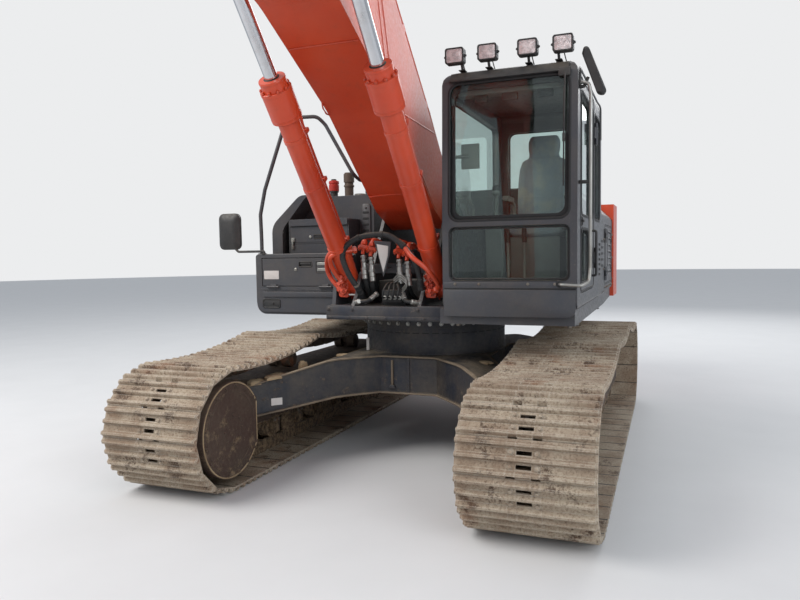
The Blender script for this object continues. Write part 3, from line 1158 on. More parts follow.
def cab():
    """Seals, sash, apron, grab rail, wiper, visor, roof hatch and vents of the cab."""
    seals = Piece("cab_seals", "upper", SEAL, SCREEN)
    frame_parts = Piece("cab_fittings", "upper", GREY)
    dark = Piece("cab_trim", "upper", PLASTIC)
    zinc = Piece("cab_bolts", "upper", BRIGHT)
    x0, x1 = CAB_IN + PILLAR, CAB_OUT - PILLAR
    up = GLASS_TOP - BAR_Z
    # Seal of the upper pane, and the sash that it slides in
    loop_band(seals, round_rect((x0 - 12, 14), (x1 + 12, up + 12), 80, 6),
        round_rect((x0 + 7, 33), (x1 - 7, up - 8), 66, 6), -4, 3)
    loop_band(seals, round_rect((x0 + 2, 28), (x1 - 2, up - 2), 70, 6),
        round_rect((x0 + 34, 60), (x1 - 34, up - 44), 60, 6), -46, -26)
    seals.place = BASE
    rim(seals, (x0 - 8, SILL - 8), (x1 + 8, BAR_Z - 17), (46, 40), 9, CAB_F - 6, CAB_F + 2.5, steps=6)
    rim(dark, (x0 + 2, SILL + 2), (x1 - 2, BAR_Z - 27), (38, 30), 14, CAB_F - 30, CAB_F - 22, steps=6)
    # Apron under the cab's front, and the seam over it
    apron = rounded([(492, 1256, 0), (1440, 1256, 62), (1440, 1452, 12), (492, 1452, 0)], 6)
    frame_parts.slab(apron, 1238, CAB_F + 5, "front", 4)
    seals.box((492, CAB_F - 6, 1452), (1440, CAB_F + 1.5, 1463), 1)
    frame_parts.slab([(492, 1463), (1442, 1463), (1442, 1506), (492, 1506)], CAB_F - 2, CAB_F + 3.5, "front",
        2)
    zinc.bolts([(px, CAB_F + 3, 1492) for px in (579, 759, 1112, 1299)], AHEAD, 14)
    # Grab rail from the front corner up the door post
    rail = arcs([(1330, CAB_F + 2, 1493), (1345, CAB_F + 30, 1490), (1480, CAB_F + 26, 1482),
        (1525, CAB_F - 30, 1510), (1530, 1225, 1600), (1530, 1205, 2780), (1515, 1200, 2860),
        (1452, 1190, 2870)], 40)
    bright = Piece("cab_grab_rail", "upper", ZINC)
    bright.tube(rail, 12, 14)
    bright.done()
    dark.turned((1330, CAB_F - 1, 1493), AHEAD, [(0, 26), (6, 26), (9, 15), (16, 13)], 24)
    dark.turned((1451, 1190, 2870), (1, 0, 0), [(0, 24), (6, 24), (9, 14), (14, 13)], 24)
    dark.box((1448, 1188, 2180), (1530, 1216, 2204), 4)
    # Wiper: motor cover, arm and blade on the right-hand post of the screen
    dark.place = SCREEN
    dark.box((1320, 2, up - 24), (1402, 30, up + 36), 8)
    dark.tube(arcs([(1366, 24, up + 6), (1366, 30, up - 60), (1357, 14, 560)], 30), 6, 10)
    dark.slab([(1351, 240), (1361, 240), (1362, 910), (1352, 910)], 0, 10, "front", 2)
    dark.box((1348, 6, 540), (1366, 18, 600), 3)
    # Visor under the lamps and the rain rail over the door
    dark.place = BASE
    brow = [(CAB_F - 152, CAB_TOP - 4), (CAB_F - 60, CAB_TOP - 30), (CAB_F - 22, CAB_TOP - 74),
        (CAB_F - 8, CAB_TOP - 96), (CAB_F - 22, CAB_TOP - 100), (CAB_F - 52, CAB_TOP - 62),
        (CAB_F - 150, CAB_TOP - 16)]
    dark.slab(brow, CAB_IN + 62, CAB_OUT - 62, "side", 3)
    frame_parts.tube(arcs([(CAB_OUT + 3, CAB_REAR + 90, 2700), (CAB_OUT + 5, CAB_REAR + 120, 2985),
        (CAB_OUT - 12, -200, 3006), (CAB_OUT - 12, CAB_F - 230, 3006), (CAB_OUT + 5, CAB_F - 130, 2965),
        (CAB_OUT + 4, CAB_F - 90, 2860)], 60), 8, 8)
    # Roof: raised panels, hatch rim and its handle
    panel = round_rect((CAB_IN + 130, CAB_REAR + 110), (CAB_OUT - 130, CAB_REAR + 470), 50, 5)
    frame_parts.slab(panel, CAB_TOP - 2, CAB_TOP + 7, "top", 4)
    hatch = (CAB_IN + 200, CAB_REAR + 520), (CAB_OUT - 200, CAB_F - 420)
    loop_band(seals, round_rect(*grown(*hatch, 26), 26), round_rect(*grown(*hatch, -3), 8), CAB_TOP - 2,
              CAB_TOP + 12, "top")
    # Seals of the fixed side, quarter and rear windows
    for plane, a, b, r, t0, t1 in (("side", (CAB_REAR + 160, 1980), (CAB_F - 180, GLASS_TOP - 80), 60,
            CAB_IN + 5, CAB_IN - 3), ("side", (CAB_REAR + 130, 1980), (130, GLASS_TOP - 80), 50, CAB_OUT - 5,
            CAB_OUT + 3), ("front", (CAB_IN + 130, 1980), (CAB_OUT - 130, GLASS_TOP - 100), 60, CAB_REAR + 5,
            CAB_REAR - 3)):
        window_seal(seals, a, b, r, t0, t1, plane)
    # Rear air grille and vents of the cab's side
    for i in range(7):
        dark.box((CAB_OUT - 2, CAB_REAR + 70, 1500 + 44 * i), (CAB_OUT + 7, CAB_REAR + 190, 1522 + 44 * i), 3)
    finished(seals, frame_parts, dark, zinc)


def cab_door():
    """Seals, handle, lock and inner rail of the cab's door."""
    front, rear, low, top = CAB_F - 170, CAB_F - 1080, 1416.6, 2950
    seal = Piece("door_seals", "cab_door", SEAL)
    parts = Piece("door_fittings", "cab_door", PLASTIC)
    x = CAB_OUT
    rim(seal, (rear + 10, low + 10), (front - 10, top - 10), (56, 46), 12, x - 4, x + 4, "side", steps=6)
    for a, b, r in (((rear + 75, 1980), (front - 70, GLASS_TOP - 80), 60),
            ((rear + 420, 1490), (front - 70, 1880), 50)):
        window_seal(seal, a, b, r, x - 5, x + 4, "side")
    # Handle in its dish, lock and stop
    rim(parts, (rear + 790, 1896), (rear + 890, 1966), (24, 18), 8, x - 2, x + 6, "side")
    parts.box((x + 2, rear + 796, 1924), (x + 22, rear + 880, 1942), 6)
    parts.turned((x - 1, rear + 840, 1860), (1, 0, 0), [(0, 16), (6, 16), (8, 12), (9, 5)], 20)
    parts.tube(arcs([(x + 1, rear + 130, 1520), (x + 34, rear + 130, 1520), (x + 34, rear + 130, 1880),
        (x + 1, rear + 130, 1880)], 24), 10, 12)
    finished(seal, parts)


PRESSURE, CLOTH_FRAMES = 4.0, 20


def swollen(made, voxel, cap):
    """Lets a pad swell as cloth under its filling's pressure, no further than cap, and keeps that shape."""
    scene, graph = bpy.context.scene, bpy.context.evaluated_depsgraph_get
    copy = bpy.data.objects.new(made.name + "_cloth", made.data.copy())
    scene.collection.objects.link(copy)
    remesh = copy.modifiers.new("remesh", "REMESH")
    remesh.mode, remesh.voxel_size = "VOXEL", voxel * MM
    fine = bpy.data.meshes.new_from_object(copy.evaluated_get(graph()))
    copy.modifiers.clear()
    copy.data = fine
    cloth = copy.modifiers.new("cloth", "CLOTH")
    cloth.settings.use_pressure = True
    cloth.settings.uniform_pressure_force = PRESSURE
    cloth.settings.effector_weights.gravity = 0.0
    cloth.point_cache.frame_start, cloth.point_cache.frame_end = 1, CLOTH_FRAMES
    for frame_no in range(1, CLOTH_FRAMES + 1):
        scene.frame_set(frame_no)
    shaped = copy.evaluated_get(graph())
    swelled = [v.co.copy() for v in shaped.data.vertices]
    copy.modifiers.clear()
    scene.frame_set(1)
    for vertex, place in zip(fine.vertices, swelled):
        move = place - vertex.co
        if move.length > cap * MM:
            move *= cap * MM / move.length
        vertex.co += move
    fine.materials.clear()
    for material in made.data.materials:
        fine.materials.append(material)
    copy.modifiers.new("smooth", "SUBSURF").levels = 1
    smooth = bpy.data.meshes.new_from_object(copy.evaluated_get(graph()))
    smooth.polygons.foreach_set("use_smooth", [True] * len(smooth.polygons))
    made.data = smooth
    bpy.data.objects.remove(copy)


def seat():
    """The operator's seat: cushion and back as padded forms with slides, armrests and bellows."""
    x, f, floor, rise = (CAB_IN + CAB_OUT) / 2, CAB_REAR + 420, 1366.6, 480

    def pad(name, node, rows):
        piece = Piece(name, "upper", CLOTH)
        # Rows run from one end of the pad to the other: middle of the section as (forward, up), half
        # thickness, half width and the way the thickness points
        rings = []
        for (fa, za), deep, wide, way in rows:
            ring = []
            for i in range(28):
                t = 2 * math.pi * i / 28
                c, s = math.cos(t), math.sin(t)
                side = math.copysign(abs(c) ** 0.42, c) * wide
                out = math.copysign(abs(s) ** 0.6, s) * deep * (1 - 0.16 * (abs(side) / wide) ** 4)
                bolster = 0.16 * deep * math.exp(-((abs(side) - wide * 0.78) / (wide * 0.14)) ** 2) * (s > 0)
                dent = -0.10 * deep * math.exp(-((abs(side) - wide * 0.56) / (wide * 0.05)) ** 2) * (s > 0)
                out += bolster + dent
                ring.append((x + side, fa + way[0] * out, za + way[1] * out))
            rings.append(ring)
        piece.skin(rings)
        made = piece.done(replaces=[node], sharp=60)
        swollen(made, voxel=8.0, cap=7.0)

    z = floor + rise
    up = (0.0, 1.0)
    pad("seat_cushion_pad", "seat_cushion", [((f - 226, z + 50), 34, 226, up),
        ((f - 212, z + 52), 46, 242, up), ((f - 150, z + 52), 50, 248, up), ((f - 40, z + 53), 51, 249, up),
        ((f - 34, z + 53), 47, 247, up), ((f - 26, z + 54), 52, 249, up), ((f + 90, z + 60), 57, 249, up),
        ((f + 200, z + 64), 62, 249, up), ((f + 250, z + 62), 58, 244, up), ((f + 270, z + 58), 46, 232, up),
        ((f + 278, z + 54), 26, 214, up)])
    z = floor + rise + 100
    way = (0.99, 0.12)
    rows = []
    for u, deep, wide in ((6, 30, 205), (26, 48, 228), (120, 56, 238), (250, 58, 239), (256, 53, 237),
            (262, 58, 239), (400, 56, 237), (404, 51, 235), (410, 55, 236), (520, 50, 226), (590, 42, 205),
            (608, 34, 180), (622, 26, 150), (650, 30, 140), (700, 34, 147), (770, 34, 145), (812, 26, 128),
            (826, 14, 110)):
        lean = f - 172 - 78 * min(u, 640) / 620 - max(0, u - 640) * 0.05
        rows.append(((lean, z + u), deep, wide, way))
    pad("seat_back_pad", "seat_back", rows)
    base = Piece("seat_fittings", "upper", TRIM)
    for s in SIDES:
        base.box((x + s * 206, f - 180, floor + 40), (x + s * 226, f + 200, floor + 70), 4)
        base.tube(arcs([(x + s * 246, f - 190, floor + 510), (x + s * 262, f - 190, floor + 790),
            (x + s * 262, f + 60, floor + 810)], 60), 14, 12)
        base.slab(round_rect((f - 60, floor + 790), (f + 190, floor + 840), 22), x + s * 234, x + s * 290,
            bevel=10)
    for k in range(11):
        z0 = floor + 90 + 32 * k
        base.slab(round_rect((x - 196 + (k % 2) * 8, f - 196 + (k % 2) * 8),
            (x + 196 - (k % 2) * 8, f + 216 - (k % 2) * 8), 20), z0, z0 + 30, "top", 8)
    base.done()


def inside():
    """Floor mat, pedals, levers, monitor, lining, shelf and blinds of the cab."""
    floor = 1367
    trim = Piece("cab_lining", "upper", TRIM)
    dark = Piece("cab_controls", "upper", PLASTIC)
    x, f, pedal = (CAB_IN + CAB_OUT) / 2, CAB_REAR + 420, CAB_F - 420
    # Ribbed mat
    for i in range(16):
        dark.box((x - 190 + i * 25, f + 280, floor), (x - 178 + i * 25, f + 1120, floor + 5), 1.5)
    # Pedals and the two travel levers
    for s in SIDES:
        dark.lathe((x + s * 62, pedal + 118, floor + 420), (x + s * 62, pedal + 132, floor + 540),
            [(0, 13), (6, 17), (70, 19), (106, 16), (116, 8)], 18)
        for k in range(5):
            dark.box((x + s * 100 - 50, pedal + 8 + 34 * k, floor + 49),
                (x + s * 100 + 50, pedal + 26 + 34 * k, floor + 55), 2)
    # Lever heads and boots on the consoles
    for s in SIDES:
        a = (x + s * 340, f + 226, floor + 580)
        dark.lathe(a, (x + s * 336, f + 240, floor + 720), [(0, 58), (6, 58), (14, 46), (22, 52), (30, 38),
            (38, 44), (46, 30), (54, 34), (64, 20), (78, 17)], 28)
        dark.lathe((x + s * 322, f + 284, floor + 832), (x + s * 318, f + 296, floor + 940),
            [(0, 20), (10, 27), (46, 30), (74, 33), (90, 26), (96, 12)], 22)
    # Monitor's screen and keys
    screen = Piece("monitor_screen", "upper", MIRROR)
    screen.box((CAB_IN + 119, CAB_F - 183, CAB_TOP - 650), (CAB_IN + 227, CAB_F - 179, CAB_TOP - 540), 1)
    screen.done()
    for k in range(4):
        dark.box((CAB_IN + 122 + 27 * k, CAB_F - 184, CAB_TOP - 688),
            (CAB_IN + 142 + 27 * k, CAB_F - 178, CAB_TOP - 672), 2)
    # Headliner shelf with its three blinds, and the rear wall's lining
    trim.slab(round_rect((CAB_IN + 64, 2862), (CAB_OUT - 64, 2968), 30), 1020, 1150, "front", 12)
    for a, b in ((700, 792), (900, 1010), (1150, 1262)):
        dark.slab(round_rect((a, 2812), (b, 2868), 12), 1080, 1128, "front", 6)
    trim.slab(round_rect((CAB_IN + 66, 1400), (CAB_OUT - 66, 1966), 30), CAB_REAR + 60, CAB_REAR + 84,
        "front", 8)
    # Roller blind housing across the roof's front half
    trim.rod((CAB_IN + 90, 960, 2930), (CAB_OUT - 90, 960, 2930), 26, 4, 24)
    finished(trim, dark)


# Hoses and fittings at the boom's foot

DECK_FRONT = 1120
CHEEK_IN, CHEEK_T, EAR_IN, EAR_T = 268, 30, 467, 32


def port_block(piece, p, way, size=60.0, long=70.0):
    """A flanged port: its block, four screws and the neck that leaves it along way."""
    p, way = Vector(p), Vector(way).normalized()
    side = way.orthogonal().normalized()
    other = way.cross(side)
    h = size / 2
    corners = [p + side * (u * h) + other * (v * h * 1.25) for u, v in ((-1, -1), (1, -1), (1, 1), (-1, 1))]
    inset = [p + side * (u * h * 0.86) + other * (v * h * 1.1) for u,
        v in ((-1, -1), (1, -1), (1, 1), (-1, 1))]
    t = size * 0.5
    piece.skin([inset, [c + way * 3 for c in corners], [c + way * (t - 3) for c in corners],
        [c + way * t for c in inset]])
    for u, v in ((-1, -1), (1, -1), (1, 1), (-1, 1)):
        piece.bolt(p + side * (u * h * 0.62) + other * (v * h * 0.86) + way * t, way, size * 0.24)
    piece.lathe(p, p + way, [(t - 1, h * 0.72), (t + 6, h * 0.72), (t + 9, h * 0.5), (long, h * 0.5)], 20)


def elbow(piece, path, r, bend=45):
    """A hard pipe with a swaged collar and nut at each end."""
    walk = arcs(path, bend)
    piece.tube(walk, r, 14)
    for a, b in ((walk[0], walk[1]), (walk[-1], walk[-2])):
        piece.lathe(a, b, [(0, r * 1.5), (r * 0.3, r * 1.62), (r * 1.5, r * 1.62), (r * 1.8, r * 1.4)], 6)
        piece.lathe(a, b, [(r * 1.7, r * 1.3), (r * 2.3, r * 1.3), (r * 2.5, r * 1.02)], 20)


def hose(piece, ends, points, r):
    """A rubber hose on the smooth line through points, with its crimped ends in the other piece."""
    walk = spaced(curved(points), max(24, len(points) * 8))
    piece.tube(walk, r, 14)
    union(ends, walk[0], walk[1], r)
    union(ends, walk[-1], walk[-2], r)
    return walk


def foot_pipes():
    """Ports, adapters, hoses and brackets between the boom's foot plates, and the cylinders' lines."""
    red = Piece("foot_ports", "upper", ORANGE)
    zinc = Piece("foot_adapters", "upper", ZINC)
    dark = Piece("foot_hoses", "upper", HOSE)
    grey = Piece("foot_brackets", "upper", GREY)
    # Bracket between the boom's foot plates: a cross rail, its gusset and two clamps
    x0, x1 = BOOM_X - CHEEK_IN + 1, BOOM_X + CHEEK_IN - 1
    grey.box((x0, 846, 1560), (x1, 872, 1640), 5)
    grey.slab([(-193, 1828), (-43, 1815), (-55, 1715), (-113, 1532), (-155, 1698)], 966, 978, "front", 3)
    grey.box((-140, 868, 1600), (-84, 970, 1612), 3)
    light = Piece("foot_plate", "upper", LABEL)
    light.slab([(-168, 1800), (-66, 1782), (-72, 1706), (-112, 1570), (-146, 1692)], 977, 980, "front", 1)
    light.done()
    # Pairs of ports with their elbows, adapters and the hoses down to the deck
    for xs, top in (((-290, -222), 1790), ((22, 92), 1752)):
        for i, x in enumerate(xs):
            z = top - 18 * i
            port_block(red, (x, 960, z), (0, 0.35, -1), 62, 74)
            elbow(red, [(x, 955, z + 6), (x, 930, z + 64), (x + 8, 860, z + 60), (x + 20, 700, z + 20)], 17,
                40)
            low = (x + 6, 986, z - 78)
            zinc.lathe(low, (x + 16, 996, z - 150), [(0, 22), (4, 25), (20, 25), (22, 18), (34, 18), (36, 24),
                (54, 24), (56, 19), (72, 19)], 6)
            zinc.lathe((x + 14, 994, z - 138), (x + 18, 998, z - 190), [(0, 20), (2, 23), (40, 23), (43, 20)],
                20)
            hose(dark, zinc, [(x + 17, 998, z - 178), (x + 24, 1000, z - 250), (x + 30 - i * 20, 960, 1440),
                (x + 26, 860, 1352), (x + 10, 700, 1340), (x, 560, 1338)], 19)
    # The lines that cross to the cylinders' feet: round the outside on the right, over the front on the left
    for name, path in (("outer", [(-330, 1120, 1800), (-420, 1206, 1765), (-520, 1150, 1705),
            (-577, 1060, 1617), (-572, 1020, 1540), (-520, 1010, 1470), (-478, 1010, 1430)]),
            ("inner", [(-300, 1080, 1760), (-455, 1195, 1715), (-500, 1140, 1640), (-480, 1075, 1550),
            (-445, 1040, 1490)]), ("left", [(60, 1080, 1812), (130, 1140, 1774), (222, 1215, 1694),
            (330, 1190, 1600), (386, 1090, 1480), (352, 1030, 1430)])):
        line = Piece("cylinder_line_" + name, "upper", ORANGE)
        walk = spaced(curved(path), 60)
        line.tube(walk, 19, 14)
        for k in (0, len(walk) - 1):
            near = 1 if k == 0 else len(walk) - 2
            line.lathe(walk[k], walk[near], [(0, 26), (5, 30), (26, 30), (30, 24), (36, 24), (38, 20)], 6)
        made = line.done(rides=False)
        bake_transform(made)
    # Stacked flange ports at the cylinders' feet
    ports = Piece("cylinder_foot_ports", "boom_barrels", ORANGE)
    for cx in (-458, 298):
        for i, (dx, f, z) in enumerate(((0, 1010, 1530), (-8, 1006, 1474), (6, 1014, 1424))):
            port_block(ports, (cx + dx, f, z), (0.1 * (-1) ** i, 1, 0.15), 66 - 6 * i, 62)
            ports.turned((cx + dx - 42, f + 16, z), (1, 0, 0),
                [(0, 12), (2, 15), (16, 15), (18, 10), (66, 10), (68, 15), (82, 15), (84, 12)], 6)
        ports.slab(rounded([(cx - 44, 1372, 20), (cx + 46, 1366, 20), (cx + 44, 1470, 20),
            (cx + 34, 1565, 20), (cx - 30, 1565, 20)]), 960, 1012, "front", 6)
    ports.done()
    # Small lines and the valve block low between the plates
    dark.box((-120, 880, DECK_Z), (90, 1010, 1430), 12)
    dark.box((-96, 1008, 1330), (66, 1034, 1410), 8)
    for i in range(4):
        x = -76 + 42 * i
        zinc.lathe((x, 1030, 1370), (x, 1060, 1372), [(0, 15), (3, 17), (14, 17), (16, 12), (26, 12),
            (28, 8)], 6)
        dark.tube(curved([(x, 1056, 1372), (x + 4, 1094, 1384), (x + 14, 1096, 1440),
            (x + 30 - 14 * i, 1040, 1486), (x + 40, 960, 1480)]), 8, 10)
    for i in range(3):
        zinc.tube(curved([(60, 1010, 1440 - 16 * i), (110, 1040, 1500 - 16 * i), (60, 1046, 1560 - 20 * i),
            (-6, 1020, 1520 - 16 * i)]), 5, 8)
    # A hose lying along the deck's front edge to each side
    for s, x in ((-1, -330), (1, 232)):
        hose(dark, zinc, [(x, 1060, 1330), (x - s * 40, 1090, 1340), (x - s * 120, 1070, 1350),
            (x - s * 170, 1000, 1400)], 16)
    zinc.box((-374, 1078, 1390), (-318, 1086, 1402), 2)
    finished(red, zinc, dark, grey)
    # The hose loop between the two cylinders' lines, over the fittings; it gives when the boom comes down
    loop = Piece("crossover_hose", "upper", HOSE)
    points = [(-286, 1040, 1400), (-294, 1080, 1446), (-351, 1130, 1566), (-386, 1160, 1694),
        (-367, 1165, 1766), (-305, 1165, 1819), (-224, 1160, 1854), (-112, 1155, 1869), (0, 1155, 1864),
        (85, 1155, 1815), (150, 1150, 1757), (197, 1145, 1695), (228, 1130, 1625), (241, 1090, 1520),
        (236, 1050, 1440)]
    walk = spaced(curved(points), 110)
    loop.tube(walk, 23, 16)
    for k in (30, 46, 62, 78):
        loop.lathe(walk[k], walk[k + 1], [(-14, 23), (-12, 27), (12, 27), (14, 23)], 20)
    for k, near in ((0, 1), (-1, -2)):
        union(loop, walk[k], walk[near], 20)
    made = loop.done(rides=False)
    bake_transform(made)


def boom_root_hoses():
    """Hoses that leave the swing body behind the boom's foot and climb onto the boom."""
    for s in SIDES:
        for k in range(3):
            piece = Piece(f"root_hose_{'left' if s > 0 else 'right'}_{k + 1}", "upper", HOSE)
            x = BOOM_X + s * (60 + 62 * k)
            on_boom = [boom_point((x - BOOM_X, a, u)) for a, u in ((-60, 330), (120, 420), (330, 470),
                (560, 560))]
            points = [(x, -250, 1420), (x, -300, 1700), (x, -260, 2040)] + on_boom
            walk = spaced(curved(points), 70)
            piece.tube(walk, 19, 12)
            union(piece, walk[0], walk[1], 17)
            union(piece, walk[-1], walk[-2], 17)
            made = piece.done(rides=False)
            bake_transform(made)


def boom_point(p):
    """A point of the boom's own frame, as [x, forward, up] of the machine."""
    f, z = turned_point(FOOT, BOOM_A, (p[1], p[2]))
    return (BOOM_X + p[0], f, z)


def platform():
    """Welds, bolts and plates on the deck, the boom's foot plates and the cylinders' ears."""
    parts = Piece("deck_fittings", "upper", GREY)
    bolts = Piece("deck_bolts", "upper", BRIGHT)
    for s in SIDES:
        inner = BOOM_X + s * CHEEK_IN
        outer = BOOM_X + s * (CHEEK_IN + CHEEK_T)
        ear = BOOM_X + s * (EAR_IN + EAR_T)
        for x, way in ((outer, s), (inner, -s)):
            parts.bead([(x + way, f, DECK_Z + 2) for f in range(-880, 1111, 40)], 7)
        parts.bead([(ear + s, f, DECK_Z + 2) for f in range(660, 1051, 30)], 7)
        pin_cap(parts, ear - s * 2, CYL_FOOT, 62, s)
        pin_cap(parts, outer + s * 18, FOOT, 78, s)
        # Doublers round the pins
        for x, p, r in ((outer, FOOT, 135), (ear, CYL_FOOT, 100)):
            parts.turned((x - s, *p), (s, 0, 0), [(0, r), (9, r), (13, r - 5), (13, 60)], 48)
    # Step plates with raised dots along the deck's front
    for a, b in (((-540, 1060), (-340, 1112)), ((240, 1060), (440, 1112))):
        parts.box((a[0], a[1], DECK_Z - 1), (b[0], b[1], DECK_Z + 4), 2)
        for i in range(9):
            for j in range(2):
                parts.turned((a[0] + 14 + i * 21, a[1] + 15 + j * 22, DECK_Z + 3),
                    UP, [(0, 7), (3, 6), (4.5, 2)], 10)
    # Screws along the deck's front face and edge strip
    front = Piece("deck_front", "upper", FRAME)
    front.box((-562, DECK_FRONT - 3, DECK_LOW + 3), (452, DECK_FRONT + 2, DECK_Z - 5), 2)
    front.box((-556, DECK_FRONT - 2, DECK_LOW + 6), (446, DECK_FRONT + 8, DECK_LOW + 30), 3)
    front.bolts([(x, DECK_FRONT + 6, DECK_LOW + 18) for x in range(-520, 441, 160)], AHEAD, 17)
    front.bolts([(x, DECK_FRONT + 1, DECK_Z - 26) for x in (-540, -330, 230, 430)], AHEAD, 20)
    front.done()
    # Cab mounts and belly plates seen from below
    for x in (560, 1380):
        for f in (1140, -340):
            parts.turned((x, f, DECK_LOW - 3), UP, [(0, 62), (3, 66), (8, 66)], 32)
            bolts.bolt((x, f, DECK_LOW - 3), DOWN, 30)
    for a, b in (((-1380, -1100), (-760, 400)), ((700, -1100), (1360, 500)), ((-900, -2150), (900, -1250))):
        parts.box((a[0], a[1], DECK_LOW - 6), (b[0], b[1], DECK_LOW + 1), 3)
        for x in (a[0] + 40, (a[0] + b[0]) / 2, b[0] - 40):
            for f in (a[1] + 40, b[1] - 40):
                bolts.bolt((x, f, DECK_LOW - 5), DOWN, 22)
    finished(parts, bolts)


# Undercarriage

TURRET_R, TURRET_Z, RING_T = 640, 1085, 105


def turret():
    """Bolts, seams, slots and seals of the slewing ring."""
    bolts = Piece("ring_bolts", "undercarriage", BRIGHT)
    seams = Piece("turret_seams", "undercarriage", FRAME)
    bolts.bolt_ring((0, 0, TURRET_Z - 17), DOWN, TURRET_R - 22, range(15, 360, 20), 22)
    seams.tube([(*polar(TURRET_R - 3, t), TURRET_Z + 8) for t in range(0, 361, 5)], 5, 6)
    # Toothed edge's grease ring and its seal under the deck
    seal = Piece("ring_seal", "undercarriage", SEAL)
    seal.tube([(*polar(TURRET_R - 14, t), TURRET_Z + RING_T - 3) for t in range(0, 361, 5)], 6, 8)
    seal.done()
    heads = Piece("ring_flange_bolts", "undercarriage", ZINC)
    for i in range(44):
        a = 2 * math.pi * (i + 0.25) / 44
        c, s = math.cos(a), math.sin(a)
        heads.bolt(((TURRET_R + 28) * c, (TURRET_R + 28) * s, TURRET_Z + 40), (c, s, 0), 24)
    heads.done()
    slots = Piece("turret_slots", "undercarriage", SEAL)
    for i in range(47):
        rings = []
        for k in range(4):
            a = 2 * math.pi * (i + 0.7 * k / 3) / 47
            rings.append([(r * math.cos(a), r * math.sin(a), z) for r,
                z in ((TURRET_R - 4, 1039), (TURRET_R + 1.2, 1039), (TURRET_R + 1.2, 1047),
                (TURRET_R - 4, 1047))])
        slots.skin(rings)
    finished(slots, bolts, seams)


BEAM_W, BEAM_LOW, BEAM_TOP, GUARD_X, GUARD_F = 420, 349, 700, 903, 1650
LEG_X, LEG_F, LEG_ROOT_F, LEG_W, WAIST_X = 1085, 1620, 740, 520, 600
ARCH = [(-LEG_X, 440, 0), (-520, 540, 300), (520, 540, 300), (LEG_X, 440, 0), (LEG_X, 690, 0),
    (560, 860, 300), (-560, 860, 300), (-LEG_X, 690, 0)]
ROLLERS, ROLLER_Z, CARRIER_Z = 8, 242.3, 776


def level(line, x):
    """The height of a line of (across, up) points at x."""
    line = sorted(line)
    for a, b in zip(line, line[1:]):
        if a[0] <= x <= b[0] and b[0] > a[0]:
            return a[1] + (b[1] - a[1]) * (x - a[0]) / (b[0] - a[0])
    return line[0][1] if x < line[0][0] else line[-1][1]


def lip(piece, path, out, thick):
    """A flange along a path, standing out on its left as seen from above."""
    rings = []
    for i, p in enumerate(path):
        a, b, p = Vector(path[max(i - 1, 0)]), Vector(path[min(i + 1, len(path) - 1)]), Vector(p)
        side = Vector((a.y - b.y, b.x - a.x, 0)).normalized()
        rise = Vector((0, 0, thick))
        rings.append([p - side * 6, p + side * (out - 2), p + side * out + rise * 0.2,
            p + side * out + rise * 0.8, p + side * (out - 2) + rise, p - side * 6 + rise])
    piece.skin(rings)


def clod(piece, at, size, high):
    """A flattened cake of dried mud."""
    rings = []
    shape = [random.uniform(0.78, 1.15) for _ in range(18)]
    for share, rise in ((1.0, -6), (1.02, high * 0.35), (0.86, high * 0.8), (0.5, high), (0.12, high * 1.02)):
        rings.append([(at[0] + size[0] * share * shape[i] * math.cos(2 * math.pi * i / 18),
                       at[1] + size[1] * share * shape[i] * math.sin(2 * math.pi * i / 18),
                       at[2] + rise * random.uniform(0.85, 1.1)) for i in range(18)])
    piece.skin(rings)


